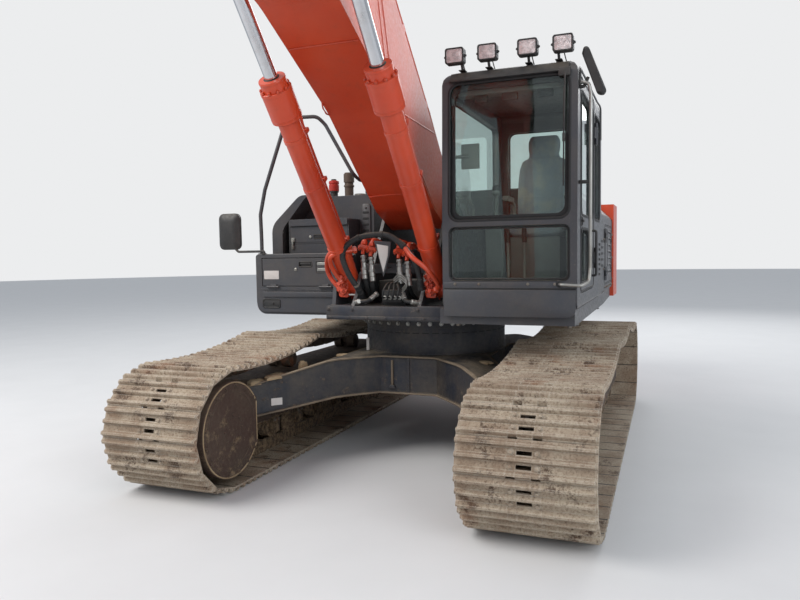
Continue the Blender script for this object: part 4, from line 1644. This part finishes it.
def x_frame():
    """Flanges, ribs, plates and dried mud of the undercarriage's middle frame."""
    flanges = Piece("frame_flanges", "undercarriage", FRAME)
    mud = Piece("frame_mud", "undercarriage", DRIED)
    lips = Piece("frame_lips", "undercarriage", DUSTED)
    outline = rounded(ARCH)
    upper, lower = [q for q in outline if q[1] > 620], [q for q in outline if q[1] < 620]
    plans = [[(-LEG_X + 4, LEG_F - 4), (-250, LEG_ROOT_F), (250, LEG_ROOT_F), (LEG_X - 4, LEG_F - 4)],
             [(LEG_X - 4, LEG_F - LEG_W), (WAIST_X, 430), (WAIST_X, -430), (LEG_X - 4, LEG_W - LEG_F)]]
    plans += [[(-x, -f) for x, f in plan] for plan in plans]
    for plan in plans:
        walk = spaced([(x, f, 0) for x, f in plan], 44)
        lip(lips, [(p.x, p.y, level(upper, p.x) - 12) for p in walk], 24, 13)
        lip(lips, [(p.x, p.y, level(lower, p.x) - 1) for p in walk], 24, 13)
        flanges.bead([(p.x, p.y, level(upper, p.x) - 15) for p in walk], 5)
        flanges.bead([(p.x, p.y, level(lower, p.x) + 14) for p in walk], 5)
    # The rib across the front face, its foot, and the seam round the turret's root
    lips.slab([(-151, 584), (-135, 584), (-135, 822), (-151, 822)], 738, 758, "front", 3)
    flanges.slab([(-176, 584), (-112, 584), (-126, 612), (-160, 612)], 738, 766, "front", 4)
    flanges.bead([(640 * math.cos(t / 12), 640 * math.sin(t / 12), 862) for t in range(77)], 8)
    # Cover plate of the frame's underside and its bolts
    flanges.slab([(q[0] * 300, q[1] * 300) for q in ring_of(1.0, 32)], 536, 545, "top", 2)
    flanges.bolt_ring((0, 0, 537), DOWN, 268, range(0, 360, 36), 20)
    # Towing eye plates and gussets between the legs and the track frames
    for s in SIDES:
        for f in SIDES:
            flanges.slab([(s * 924, 696), (s * 978, 690), (s * 978, 742), (s * 962, 752)], f * 1340, f * 1358,
                "front", 3)
            flanges.bead([(s * (LEG_X - 2), f * g, 694) for g in range(1120, 1601, 60)], 8)
    # Dried mud on the legs beside the tracks
    for x, f, size, high in ((-855, 1010, (30, 60), 60), (-898, 1400, (64, 110), 22),
            (-1010, 1480, (60, 90), 30), (-960, 1250, (70, 90), 26), (905, 1380, (70, 100), 24),
            (1010, 1260, (60, 100), 32), (-880, -1320, (70, 110), 26), (900, -1300, (60, 120), 30),
            (-620, 700, (60, 50), 14), (650, 720, (70, 50), 16)):
        clod(mud, (x, f, level(upper, x) - 2), size, high)
    finished(flanges, lips)
    mud.done(sharp=50)
    plate = Piece("frame_blank_plate", "undercarriage", LABEL, slot="frame_paint")
    side = Vector((LEG_F - LEG_ROOT_F, LEG_X - 250, 0)).normalized()
    ring = [Vector((x, LEG_ROOT_F + (LEG_F - LEG_ROOT_F) * (-x - 250) / (LEG_X - 250), z))
            for x, z in ((-909, 528), (-847, 528), (-847, 585), (-909, 585))]
    plate.skin([[p - side * 2 for p in ring], [p + side * 3 for p in ring]])
    plate.box((-502, 456, 845), (-475, 474, 971), 3)
    plate.done()


def track_frames():
    """Guards, final drives, rollers' end caps, beams' seams, covers and steps of both tracks."""
    guards = Piece("guard_fittings", "undercarriage", GUARD)
    bright = Piece("track_frame_bolts", "undercarriage", BRIGHT)
    gear = Piece("gear_fittings", "undercarriage", GEAR)
    dusty = Piece("guard_rims", "undercarriage", DRIED)
    axle = (WRAP_F, WRAP_R)
    for s in SIDES:
        face = s * GUARD_X
        dusty.tube([(face - s, *polar(343, t, axle)) for t in range(-150, 151, 6)], 5, 8)
        dusty.box((face - s * 3, GUARD_F + 3, WRAP_R - 150), (face + s * 5, GUARD_F + 13, WRAP_R + 150), 2)
        for r in (300, 120):
            guards.turned((face + s, WRAP_F, WRAP_R), (-s, 0, 0),
                [(0, r), (4, r), (6, r - 6), (6, r - 22), (4, r - 28), (0, r - 28)], 56)
        guards.bolt_ring((face, *axle), (-s, 0, 0), 322, range(-143, 144, 22), 22)
        guards.bolt_ring((face - s * 2, *axle), (-s, 0, 0), 106, range(0, 360, 45), 18)
        # Final drive: rings of bolts, cover and plugs
        hub, cover = s * (TRACK_X + 190), s * (TRACK_X + 215)
        bright.bolt_ring((hub - s, *axle), (s, 0, 0), 176, range(0, 360, 18), 24)
        bright.bolt_ring((cover - s, *axle), (s, 0, 0), 118, range(0, 360, 30), 20)
        gear.turned((cover - s * 2, WRAP_F, WRAP_R), (s, 0, 0),
            [(0, 96), (6, 96), (10, 88), (12, 60), (15, 52), (16, 1)], 40)
        for a in (35, -90):
            bright.turned((cover, *polar(78, a, axle)), (s, 0, 0),
                [(0, 15), (14, 15), (17, 12), (17, 6), (13, 5)], 6)
        # Sprocket's dish and its holes' rims
        for side in SIDES:
            gear.turned((s * TRACK_X + side * 34, WRAP_F, WRAP_R), (side, 0, 0),
                [(0, 236), (6, 236), (9, 230), (9, 222), (5, 214), (0, 214)], 48)
        # Idler: hub caps, its yoke's bolts and the guide's wear blocks
        for side in SIDES:
            x = s * TRACK_X + side * 172
            gear.turned((x - side * 2, -WRAP_F, WRAP_R), (side, 0, 0),
                [(0, 62), (9, 62), (13, 56), (14, 30), (18, 26), (18, 1)], 36)
            bright.bolt_ring((x, -WRAP_F, WRAP_R), (side, 0, 0), 46, range(45, 360, 90), 18)
            bright.bolts([(x, f, z) for f in (-WRAP_F + 110, -WRAP_F + 190)
                for z in (WRAP_R - 50, WRAP_R + 50)], (side, 0, 0), 24)
        # Rollers: end caps and the bolts that hold their brackets
        for i in range(ROLLERS):
            f = -(2 * WRAP_F - 1130) * (0.5 - i / (ROLLERS - 1))
            for side in SIDES:
                x = s * TRACK_X + side * 166
                gear.turned((x - side * 2, f, ROLLER_Z), (side, 0, 0),
                    [(0, 44), (7, 44), (10, 39), (11, 22), (14, 19), (14, 1)], 28)
                bright.bolts([(x, f + d, ROLLER_Z + 62) for d in (-32, 32)], (side, 0, 0), 17)
                gear.turned((s * TRACK_X + side * 112, f, ROLLER_Z), (side, 0, 0),
                    [(0, 94), (1, 98), (9, 98), (10, 94)], 32)
        for f in CARRIERS:
            for side in SIDES:
                x = s * TRACK_X + side * 115
                gear.turned((x - side * 2, f, CARRIER_Z), (side, 0, 0),
                    [(0, 52), (5, 52), (8, 46), (9, 24), (12, 20), (12, 1)], 28)
            gear.bead([(s * TRACK_X + 40 * math.cos(t), f + 40 * math.sin(t), BEAM_TOP + 2)
                for t in [k / 2 for k in range(14)]], 6)
        # Beam: seams, ribs, the cover over the tensioner's valve and a step
        for side in SIDES:
            x = s * TRACK_X + side * BEAM_W / 2
            gear.bead([(x, f, BEAM_LOW + 4) for f in range(-1580, 1471, 90)], 6)
            gear.bead([(x, f, BEAM_TOP - 14) for f in range(-1380, 1321, 90)], 6)
        out = s * (TRACK_X + BEAM_W / 2)
        gear.slab(round_rect((-1180, 470), (-960, 610), 16), out - s * 2, out + s * 9, bevel=3)
        bright.bolts([(out + s * 8, f, z) for f in (-1162, -978) for z in (488, 592)], (s, 0, 0), 18)
        for f in (-420, 480):
            gear.slab([(f - 150, 560), (f + 150, 560), (f + 128, 600), (f - 128, 600)], out - s * 2,
                out + s * 62, bevel=4)
            for k in range(9):
                gear.box((out + s * 12, f - 112 + 27 * k, 598), (out + s * 56, f - 100 + 27 * k, 606), 2)
        # Chain guides between the rollers
        for f in (-760, 0, 760):
            for side in SIDES:
                x = s * TRACK_X + side * 118
                gear.slab(rounded([(f - 92, 150, 20), (f + 92, 150, 20), (f + 118, 352, 0),
                    (f - 118, 352, 0)]), x, x + side * 18, bevel=3)
    finished(guards, bright, gear, dusty)


# Arm, links and bucket

def line_of(outline, a0, a1, upper):
    """The upper or lower edge of an outline between two places along it."""
    start = min(range(len(outline)), key=lambda i: outline[i][0])
    turn = outline[start:] + outline[:start]
    end = max(range(len(turn)), key=lambda i: turn[i][0])
    line = turn[end:] if upper else turn[:end + 1]
    return sorted(q for q in line if a0 <= q[0] <= a1)


def arm():
    """Seams, doublers and pin ends of the arm, and the hoses over its joints."""
    seams = Piece("arm_seams", "arm", ORANGE, ARM)
    pins = Piece("arm_pin_ends", "arm", GREY, ARM)
    outline, half = rounded(ARM_ROWS), ARM_W / 2
    for s in SIDES:
        for upper, shift in ((False, 20), (True, -20)):
            line = line_of(outline, -100 if not upper else 760, ARM_LEN - 700, upper)
            seams.bead([(s * (half - 1), a, u + shift) for a, u in line], 5)
        line = line_of(outline, -700, 240, True)
        seams.bead([(s * (half - 1), a, u - 20) for a, u in line], 5)
        # Doublers round the pins
        for p, r, x in ((ARM_CYL_PIN, 96, half), (BKT_CYL_FOOT, 78, 124), (GUIDE_PIN, 92, 166)):
            seams.turned((s * (x - 4), *p), (s, 0, 0), [(0, r), (14, r), (17, r - 5), (17, 30)], 40)
        seams.slab(rounded([(900, -130, 40), (1700, -110, 60), (1700, 170, 60), (900, 210, 60)]),
            s * (half - 3), s * (half + 5), bevel=3)
        seams.bead([(s * (half + 1), a, u) for a, u in ((880, -140), (1300, -130), (1720, -118), (1722, 40),
            (1718, 180), (1300, 206), (884, 220), (880, 40), (880, -140))], 4)
        pin_cap(pins, s * (half + 6), ARM_CYL_PIN, 56, s)
        pin_cap(pins, s * 134, BKT_CYL_FOOT, 52, s)
        pin_cap(pins, s * 269, GUIDE_PIN, 52, s)
        pin_cap(pins, s * 222, (ARM_LEN, 0), 62, s)
    finished(seams, pins)
    # Hoses over the joint with the boom, the clamps on the arm's side, and on to the bucket cylinder
    steel = Piece("arm_hose_clamps", "arm", ORANGE, ARM)
    for s in SIDES:
        steel.box((s * (half - 3), 500, 130), (s * (half + 58), 540, 250), 5)
        steel.bolt((s * (half + 58), 520, 190), (s, 0, 0), 18)
        for k in range(2):
            x = BOOM_X + s * (200 + 30 * k)
            piece = Piece(f"arm_joint_hose_{'left' if s > 0 else 'right'}_{k + 1}", "boom", HOSE)
            way = [turned_point(FOOT, BOOM_A, q) for q in ((5660, 395), (5850, 470 + 30 * k),
                (6120, 500 + 36 * k), (6360, 400 + 40 * k))]
            way += [turned_point(TIP, ARM_A, q) for q in ((-60, 350 + 24 * k), (180, 330 + 16 * k),
                (360, 250), (520, 160 + 56 * k))]
            walk = spaced(curved([(x if i else BOOM_X + s * (162 + 50 * k), *q) for i, q in enumerate(way)]),
                70)
            piece.tube(walk, 14, 12)
            union(piece, walk[0], walk[1], 13)
            union(piece, walk[-1], walk[-2], 13)
            made = piece.done(rides=False)
            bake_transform(made)
        piece = Piece(f"bucket_cylinder_hose_{'left' if s > 0 else 'right'}", "arm", HOSE)
        way = [turned_point(TIP, ARM_A, q) for q in ((530, 210), (560, 330),
            (640, 480))] + [turned_point(BKT_FOOT_AT, angle_of(BKT_FOOT_AT, KNEE), q)
            for q in ((60, 215), (150, 190), (175, 110))]
        xs = (204, 210, 196, 110, 40, 22)
        walk = spaced(curved([(BOOM_X + s * x, *q) for x, q in zip(xs, way)]), 50)
        piece.tube(walk, 14, 12)
        union(piece, walk[0], walk[1], 13)
        union(piece, walk[-1], walk[-2], 13)
        made = piece.done(rides=False)
        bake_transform(made)
    steel.done()


def links():
    """Bosses, seams and pin ends of the guide links and the push link."""
    guide_at = turned_point(TIP, ARM_A, GUIDE_PIN)
    push_at = turned_point(BUCKET_PIN, BUCKET_A, LINK_PIN)
    guides = Piece("guide_link_bosses", "guide_links", ORANGE, Place(BOOM_X, *guide_at,
        angle_of(guide_at, KNEE)))
    caps = Piece("knee_pin_ends", "guide_links", GREY, Place(BOOM_X, *guide_at, angle_of(guide_at, KNEE)))
    push = Piece("push_link_seams", "push_link", ORANGE, Place(BOOM_X, *push_at, angle_of(push_at, KNEE)))
    for s in SIDES:
        guides.turned((s * 256, GUIDE_LEN, 0), (s, 0, 0), [(0, 72), (8, 72), (11, 67), (11, 50)], 36)
        guides.turned((s * 256, 0, 0), (s, 0, 0), [(0, 78), (6, 78), (9, 73), (9, 60)], 36)
        guides.slab(rounded([(90, -26, 20), (GUIDE_LEN - 90, -24, 20), (GUIDE_LEN - 90, 24, 20),
            (90, 26, 20)]), s * 257, s * 264, bevel=3)
        pin_cap(caps, s * 267, (GUIDE_LEN, 0), 50, s)
        push.slab(rounded([(90, -30, 24), (250, -30, 24), (250, 30, 24), (90, 30, 24)]), s * 118, s * 126,
            bevel=3)
        for a in (0, PUSH_LEN):
            push.turned((s * 118, a, 0), (s, 0, 0), [(0, 60), (6, 60), (9, 55), (9, 51)], 36)
    finished(guides, caps, push)


def bucket():
    """Wear strips, edge, side plates, ears, teeth and shrouds of the bucket."""
    shell = Piece("bucket_seams", "bucket", BUCKET, BUCKET_AT)
    teeth = Piece("bucket_tooth_points", "bucket", TOOTH, BUCKET_AT)

    def lip_at(u, v):
        """A point in the lip's frame: back from the tooth's tip, and up from the edge."""
        return turned_point((TIP_R, 0), 130, (u, v))

    def arc(r, a):
        return polar(r, a, SHELL_C)

    def loft(piece, x, rows, soft, share=1.0):
        """A form along the lip through sections of (u, half width, low, high) with rounded corners."""
        piece.skin([[(x + a, *lip_at(u, b))
                     for a, b in round_rect((-w, low), (w, high), min(soft, (high - low) * share), 2)]
                    for u, w, low, high in rows])

    # Wear strips round the shell
    for x in (-690, -360, -30, 300, 630):
        rings = []
        for a in range(44, 141, 6):
            (f0, z0), (f1, z1) = arc(SHELL_R - 3, a), arc(SHELL_R + 3.4, a)
            rings.append([(x, f0, z0), (x + 60, f0, z0), (x + 58, f1, z1), (x + 2, f1, z1)])
        shell.skin(rings)
    # Cutting edge, and the seam behind it
    shell.slab([lip_at(u, v) for u, v in ((151, -6), (158, -9), (400, -9), (410, 0), (410, 26), (396, 36),
        (196, 36), (151, 22))], -700, 700, "side", 3)
    half = BUCKET_W / 2
    edge = [lip_at(156, 26), (TIP_R - 330, 60), (SHELL_C[0], -10), arc(SHELL_R - 14, 178)]
    for s in SIDES:
        # Rim bars, side cutters and seams on the side plates
        for a, b in zip(edge, edge[1:]):
            way = Vector((b[0] - a[0], b[1] - a[1])).normalized()
            n = Vector((-way.y, way.x)) if (Vector((-way.y, way.x)).dot(Vector(SHELL_C)
                - Vector(a)) > 0) else Vector((way.y, -way.x))
            shell.slab([(a[0] - n.x * 4, a[1] - n.y * 4), (b[0] - n.x * 4, b[1] - n.y * 4),
                (b[0] + n.x * 66, b[1] + n.y * 66), (a[0] + n.x * 66, a[1] + n.y * 66)], s * (half - 1),
                s * (half + 13), bevel=3)
        cutter = [lip_at(146, 12), lip_at(150, 60), (TIP_R - 210, 50), (TIP_R - 420, 62), (TIP_R - 410, 150),
            (TIP_R - 250, 190), lip_at(300, 10)]
        shell.slab(cutter, s * (half - 1), s * (half + 28), bevel=5)
        for p in ((TIP_R - 230, 110), (TIP_R - 310, 120), (TIP_R - 380, 108)):
            teeth.bolt((s * (half + 27), *p), (s, 0, 0), 40)
        seam = [arc(SHELL_R - 26, a) for a in range(50, 176, 6)]
        shell.bead([(s * (half - 26), f, z) for f, z in seam], 8)
        shell.bead([(s * (half + 1), *arc(SHELL_R - 8, a)) for a in range(44, 176, 6)], 5)
        # Ears: bosses, seams and a tie between them
        for p, r, x in (((0, 0), 104, 214), (LINK_PIN, 88, 214)):
            shell.turned((s * (x - 2), *p), (s, 0, 0), [(0, r), (6, r), (9, r - 5), (9, 62)], 40)
        shell.bead([(s * 216, *arc(SHELL_R + 3, a)) for a in range(112, 180, 6)], 9)
        shell.bead([(s * 165, *arc(SHELL_R + 3, a)) for a in range(112, 180, 6)], 9)
        pin_cap(shell, s * 218, LINK_PIN, 54, s)
    # Teeth: a point on its adapter, whose legs hold the edge above and below
    step = (BUCKET_W - 150) / 4
    for i in range(5):
        x = -BUCKET_W / 2 + 75 + i * step
        loft(teeth, x, ((2, 30, -3, 6), (8, 34, -5, 8), (70, 40, -9, 22), (118, 45, -12, 34),
            (124, 43, -11, 32)), 6, 0.3)
        loft(teeth, x, ((96, 36, -6, 28), (122, 40, -8, 32), (128, 52, -20, 44), (150, 54, -23, 50),
            (200, 52, -16, 54), (204, 50, 20, 53), (330, 40, 24, 44), (352, 34, 25, 37)), 5)
        loft(teeth, x, ((180, 50, -22, 2), (290, 42, -17, 2), (312, 32, -9, 2)), 3)
        for side in SIDES:
            teeth.turned((x + side * 44, *lip_at(104, 12)), (side, 0, 0),
                [(0, 12), (8, 12), (10, 9), (11, 3)], 16)
    # Shrouds between the teeth
    for i in range(4):
        x = -BUCKET_W / 2 + 75 + (i + 0.5) * step
        loft(shell, x, ((132, 84, 6, 18), (140, 90, -4, 30), (182, 92, -12, 42), (262, 86, 22, 40),
            (276, 80, 24, 36)), 5, 0.3)
    shell.done()
    teeth.done(replaces=["bucket_teeth"])


# Rear: counterweight, side doors, hood and covers

def rear():
    """Covers, grilles, latches and bolts of the counterweight, the side doors and the hood."""
    back_r, side_x = 3150, 1410

    def on_back(x, z, out=0):
        """A point of the counterweight's round back, or out from it."""
        return (x, -math.sqrt((back_r + out) ** 2 - x * x), z)

    weight = Piece("weight_fittings", "upper", ORANGE)
    dark = Piece("rear_trim", "upper", SEAL)
    grey = Piece("rear_fittings", "upper", GREY)
    zinc = Piece("rear_bolts", "upper", BRIGHT)
    red = Piece("rear_lamps", "upper", RED, slot="lamp_plastic")
    # Counterweight: covers of its bolts, tow pin, seam lines and grab handles
    for s in SIDES:
        weight.slab(round_rect((s * 980 - 90, -2720), (s * 980 + 90, -2540), 20), 2248, 2256, "top", 3)
        zinc.bolts([(s * 980 + d, -2630 + e, 2255) for d in (-70, 70) for e in (-70, 70)], UP, 20)
        weight.tube(arcs([(s * 1240, -2400, 2246), (s * 1240, -2400, 2310), (s * 1240, -2640, 2310),
            (s * 1240, -2640, 2246)], 40), 14, 12)
        for f in (-2400, -2640):
            weight.turned((s * 1240, f, 2249), UP, [(0, 30), (5, 30), (8, 22), (8, 14)], 20)
        weight.bead([(s * (760 + d), -2650 + e, 2251) for d, e in ((-26, -76), (26, -76), (26, 76), (-26, 76),
            (-26, -76))], 6)
        # Rear lamps in their recesses, and slots over them
        for k, piece, t in ((0, dark, 4), (1, red, 7)):
            inset = 10 * k
            ring = round_rect((s * 1010 - 95 + inset, 1560 + inset), (s * 1010 + 95 - inset, 1640 - inset),
                16 - 6 * k, 4)
            piece.skin([[on_back(x, z, -12) for x, z in ring], [on_back(x, z, t - 1) for x, z in ring],
                        [on_back(x + (s * 1010 - x) * 0.03, z, t) for x, z in ring]])
    dark.tube([on_back(x, 1500, -3) for x in range(-1000, 1001, 50)], 2.4, 6)
    weight.rod((0, -3056, DECK_LOW + 4), (0, -3056, DECK_LOW + 150), 34, 4, 24)
    weight.tube([(0, -3056, DECK_LOW + 120), (0, -3076, DECK_LOW + 120), (0, -3130, DECK_LOW + 120)], 10, 10)
    # Seam between the counterweight and the covers, on the sides and over the top
    for s in SIDES:
        dark.box((s * 1405, -2236, 1310), (s * 1412, -2226, 2070), 1)
    # Louvre blades, latches, locks and hinge bolts of the side doors
    for s, body, name in ((-1, "pump_door", "pump"), (1, "cooler_door", "cooler")):
        door = Piece(name + "_door_fittings", body, GREY)
        black = Piece(name + "_door_trim", body, SEAL)
        x = s * side_x
        for i in range(7):
            z = 1486.3 + 70 * i
            for f0, f1 in ((-2008, -1822), (-1812, -1628)):
                door.skin([[(x - s, f, z + 31), (x + s * 9, f, z + 14), (x + s * 7, f, z + 10),
                    (x - s * 2, f, z + 26)] for f in (f0, f1)])
        rim(black, (-2128, 1378), (-1302, 1978), (18, 14), 8, x - s * 3, x + s * 1.2, "side", 0.6)
        rim(door, (-2030, 1462), (-1606, 1952), (26, 18), 12, x - s, x + s * 5, "side")
        for z in (1520, 1840):
            rim(black, (-2112, z - 44), (-2058, z + 44), (14, 9), 7, x - s, x + s * 4, "side")
            black.box((x - s, -2100, z - 30), (x + s * 10, -2070, z + 12), 4)
            black.turned((x - s, -2085, z + 26), (s, 0, 0), [(0, 9), (4, 9), (6, 6), (6, 1)], 14)
        for z in (1456.3, 1840):
            door.bolts([(x + s * 13, -1330, z + d) for d in (14, 46)], (s, 0, 0), 14)
        door.slab(round_rect((-1560, 1440), (-1330, 1960), 30), x - s, x + s * 5, bevel=3)
        finished(door, black)
    # Steps, plates and screws of the rear covers' sides, with air slots behind the cab
    for s in SIDES:
        x = s * side_x
        zinc.bolts([(x - s, -2190, z) for z in (1400, 1640, 1900)], (s, 0, 0), 18)
        zinc.bolts([(x - s, f, 1340) for f in range(-2150, -1250, 140)], (s, 0, 0), 16)
    for k in range(5):
        dark.slab(round_rect((-1150, 1560 + 60 * k), (-660, 1584 + 60 * k), 11), 1408, 1411.4, "side", 0.6)
    grey.slab(round_rect((-1180, 1520), (-630, 1850), 30), 1406, 1410.8, "side", 2)
    zinc.bolts([(1410, f, z) for f in (-1160, -650) for z in (1535, 1835)], (1, 0, 0), 16)
    # Hood: latches, raised seams, grille slots, bumpers and its handle
    hood = Piece("hood_fittings", "hood", GREY)
    slots = Piece("hood_trim", "hood", SEAL)
    top = 2405
    for x0 in (-780, 360):
        for k in range(9):
            slots.slab(round_rect((x0, -1480 - 62 * k), (x0 + 420, -1456 - 62 * k), 11), top - 1, top + 1.4,
                "top", 0.5)
        rim(hood, (x0 - 40, -2010), (x0 + 460, -1410), (30, 20), 14, top - 1, top + 6, "top")
    hood.tube(arcs([(-160, -2140, 2358), (-160, -2140, 2412), (160, -2140, 2412), (160, -2140, 2358)], 30),
        11, 12)
    for s in SIDES:
        slots.box((s * 700 - 40, -2196, 2361), (s * 700 + 40, -2140, 2374), 5)
        slots.box((s * 700 - 14, -2188, 2370), (s * 700 + 14, -2150, 2388), 4)
        hood.bolts([(s * 1095, f, 2359) for f in (-1320, -1600, -1880, -2140)], UP, 18)
    hood.bolts([(x, -1290, 2359) for x in (-1000, -500, 0, 420, 980)], UP, 18)
    finished(hood, slots, weight, dark, grey, zinc, red)


for build in (handrails, mirrors, exhaust, front_box, tanks, lamps, cab, cab_door, seat, inside, foot_pipes,
        boom_root_hoses, platform, turret, x_frame, track_frames, arm, links, bucket, rear):
    build()


# Camera, light and floor

CAMERA_AT = Vector((2.041, -6.123, 1.717))
CAMERA_YAW, CAMERA_PITCH, CAMERA_ROLL = 21.372, -3.804, -0.898
CAMERA_LENS = 31.1


def camera():
    """The camera solved from the photo."""
    yaw, pitch, roll = (math.radians(v) for v in (CAMERA_YAW, CAMERA_PITCH, CAMERA_ROLL))
    ahead = Vector((-math.sin(yaw) * math.cos(pitch), math.cos(yaw) * math.cos(pitch), math.sin(pitch)))
    right = ahead.cross(Vector((0, 0, 1))).normalized()
    up = right.cross(ahead)
    axes = Matrix((right * math.cos(roll) + up * math.sin(roll),
        up * math.cos(roll) - right * math.sin(roll), -ahead))
    data = bpy.data.cameras.new("camera")
    data.sensor_width, data.lens = 36.0, CAMERA_LENS
    data.clip_start, data.clip_end = 0.05, 200.0
    made = bpy.data.objects.new("camera", data)
    made.matrix_world = Matrix.Translation(CAMERA_AT) @ axes.transposed().to_4x4()
    bpy.context.scene.collection.objects.link(made)
    bpy.context.scene.camera = made


def lamp(name, place, target, size, power, colour=(1, 1, 1)):
    """A round area light, aimed at a target; lengths in metres."""
    data = bpy.data.lights.new(name, "AREA")
    data.shape, data.size, data.energy, data.color = "DISK", size, power, colour
    made = bpy.data.objects.new(name, data)
    made.location = place
    made.rotation_euler = (Vector(target) - Vector(place)).to_track_quat("-Z", "Y").to_euler()
    bpy.context.scene.collection.objects.link(made)


def studio():
    """A pale floor, a soft sky and three lamps."""
    floor = Graph("studio_floor")
    mottle = floor.noise(1.5, 4.0, 0.6)
    floor.put(floor.shader.inputs["Base Color"], floor.mix(mottle, srgb(214, 214, 214), srgb(206, 206, 206)))
    floor.shader.inputs["Roughness"].default_value = 0.9
    mesh = bmesh.new()
    bmesh.ops.create_circle(mesh, cap_ends=True, segments=96, radius=60.0)
    data = bpy.data.meshes.new("floor")
    mesh.to_mesh(data)
    mesh.free()
    data.materials.append(floor.material)
    made = bpy.data.objects.new("floor", data)
    bpy.context.scene.collection.objects.link(made)
    world = bpy.data.worlds.new("studio")
    bpy.context.scene.world = world
    world.use_nodes = True
    tree = world.node_tree
    tree.nodes.clear()
    out = tree.nodes.new("ShaderNodeOutputWorld")
    sky, wall, mix, path = (tree.nodes.new("ShaderNode" + k) for k in ("Background", "Background",
        "MixShader", "LightPath"))
    sky.inputs["Color"].default_value = srgb(226, 232, 240)
    sky.inputs["Strength"].default_value = 0.75
    wall.inputs["Color"].default_value = srgb(236, 237, 238)
    tree.links.new(path.outputs["Is Camera Ray"], mix.inputs[0])
    tree.links.new(sky.outputs[0], mix.inputs[1])
    tree.links.new(wall.outputs[0], mix.inputs[2])
    tree.links.new(mix.outputs[0], out.inputs["Surface"])
    lamp("key", (-7.0, -8.0, 11.0), (0, 0, 1.2), 9.0, 1500, (1.0, 0.98, 0.95))
    lamp("fill", (9.0, -7.0, 5.0), (0.5, 0, 1.5), 8.0, 450, (0.94, 0.97, 1.0))
    lamp("back", (2.0, 11.0, 9.0), (0, 0, 2.0), 9.0, 600)
    bpy.context.scene.view_settings.view_transform = "Standard"


camera()
studio()
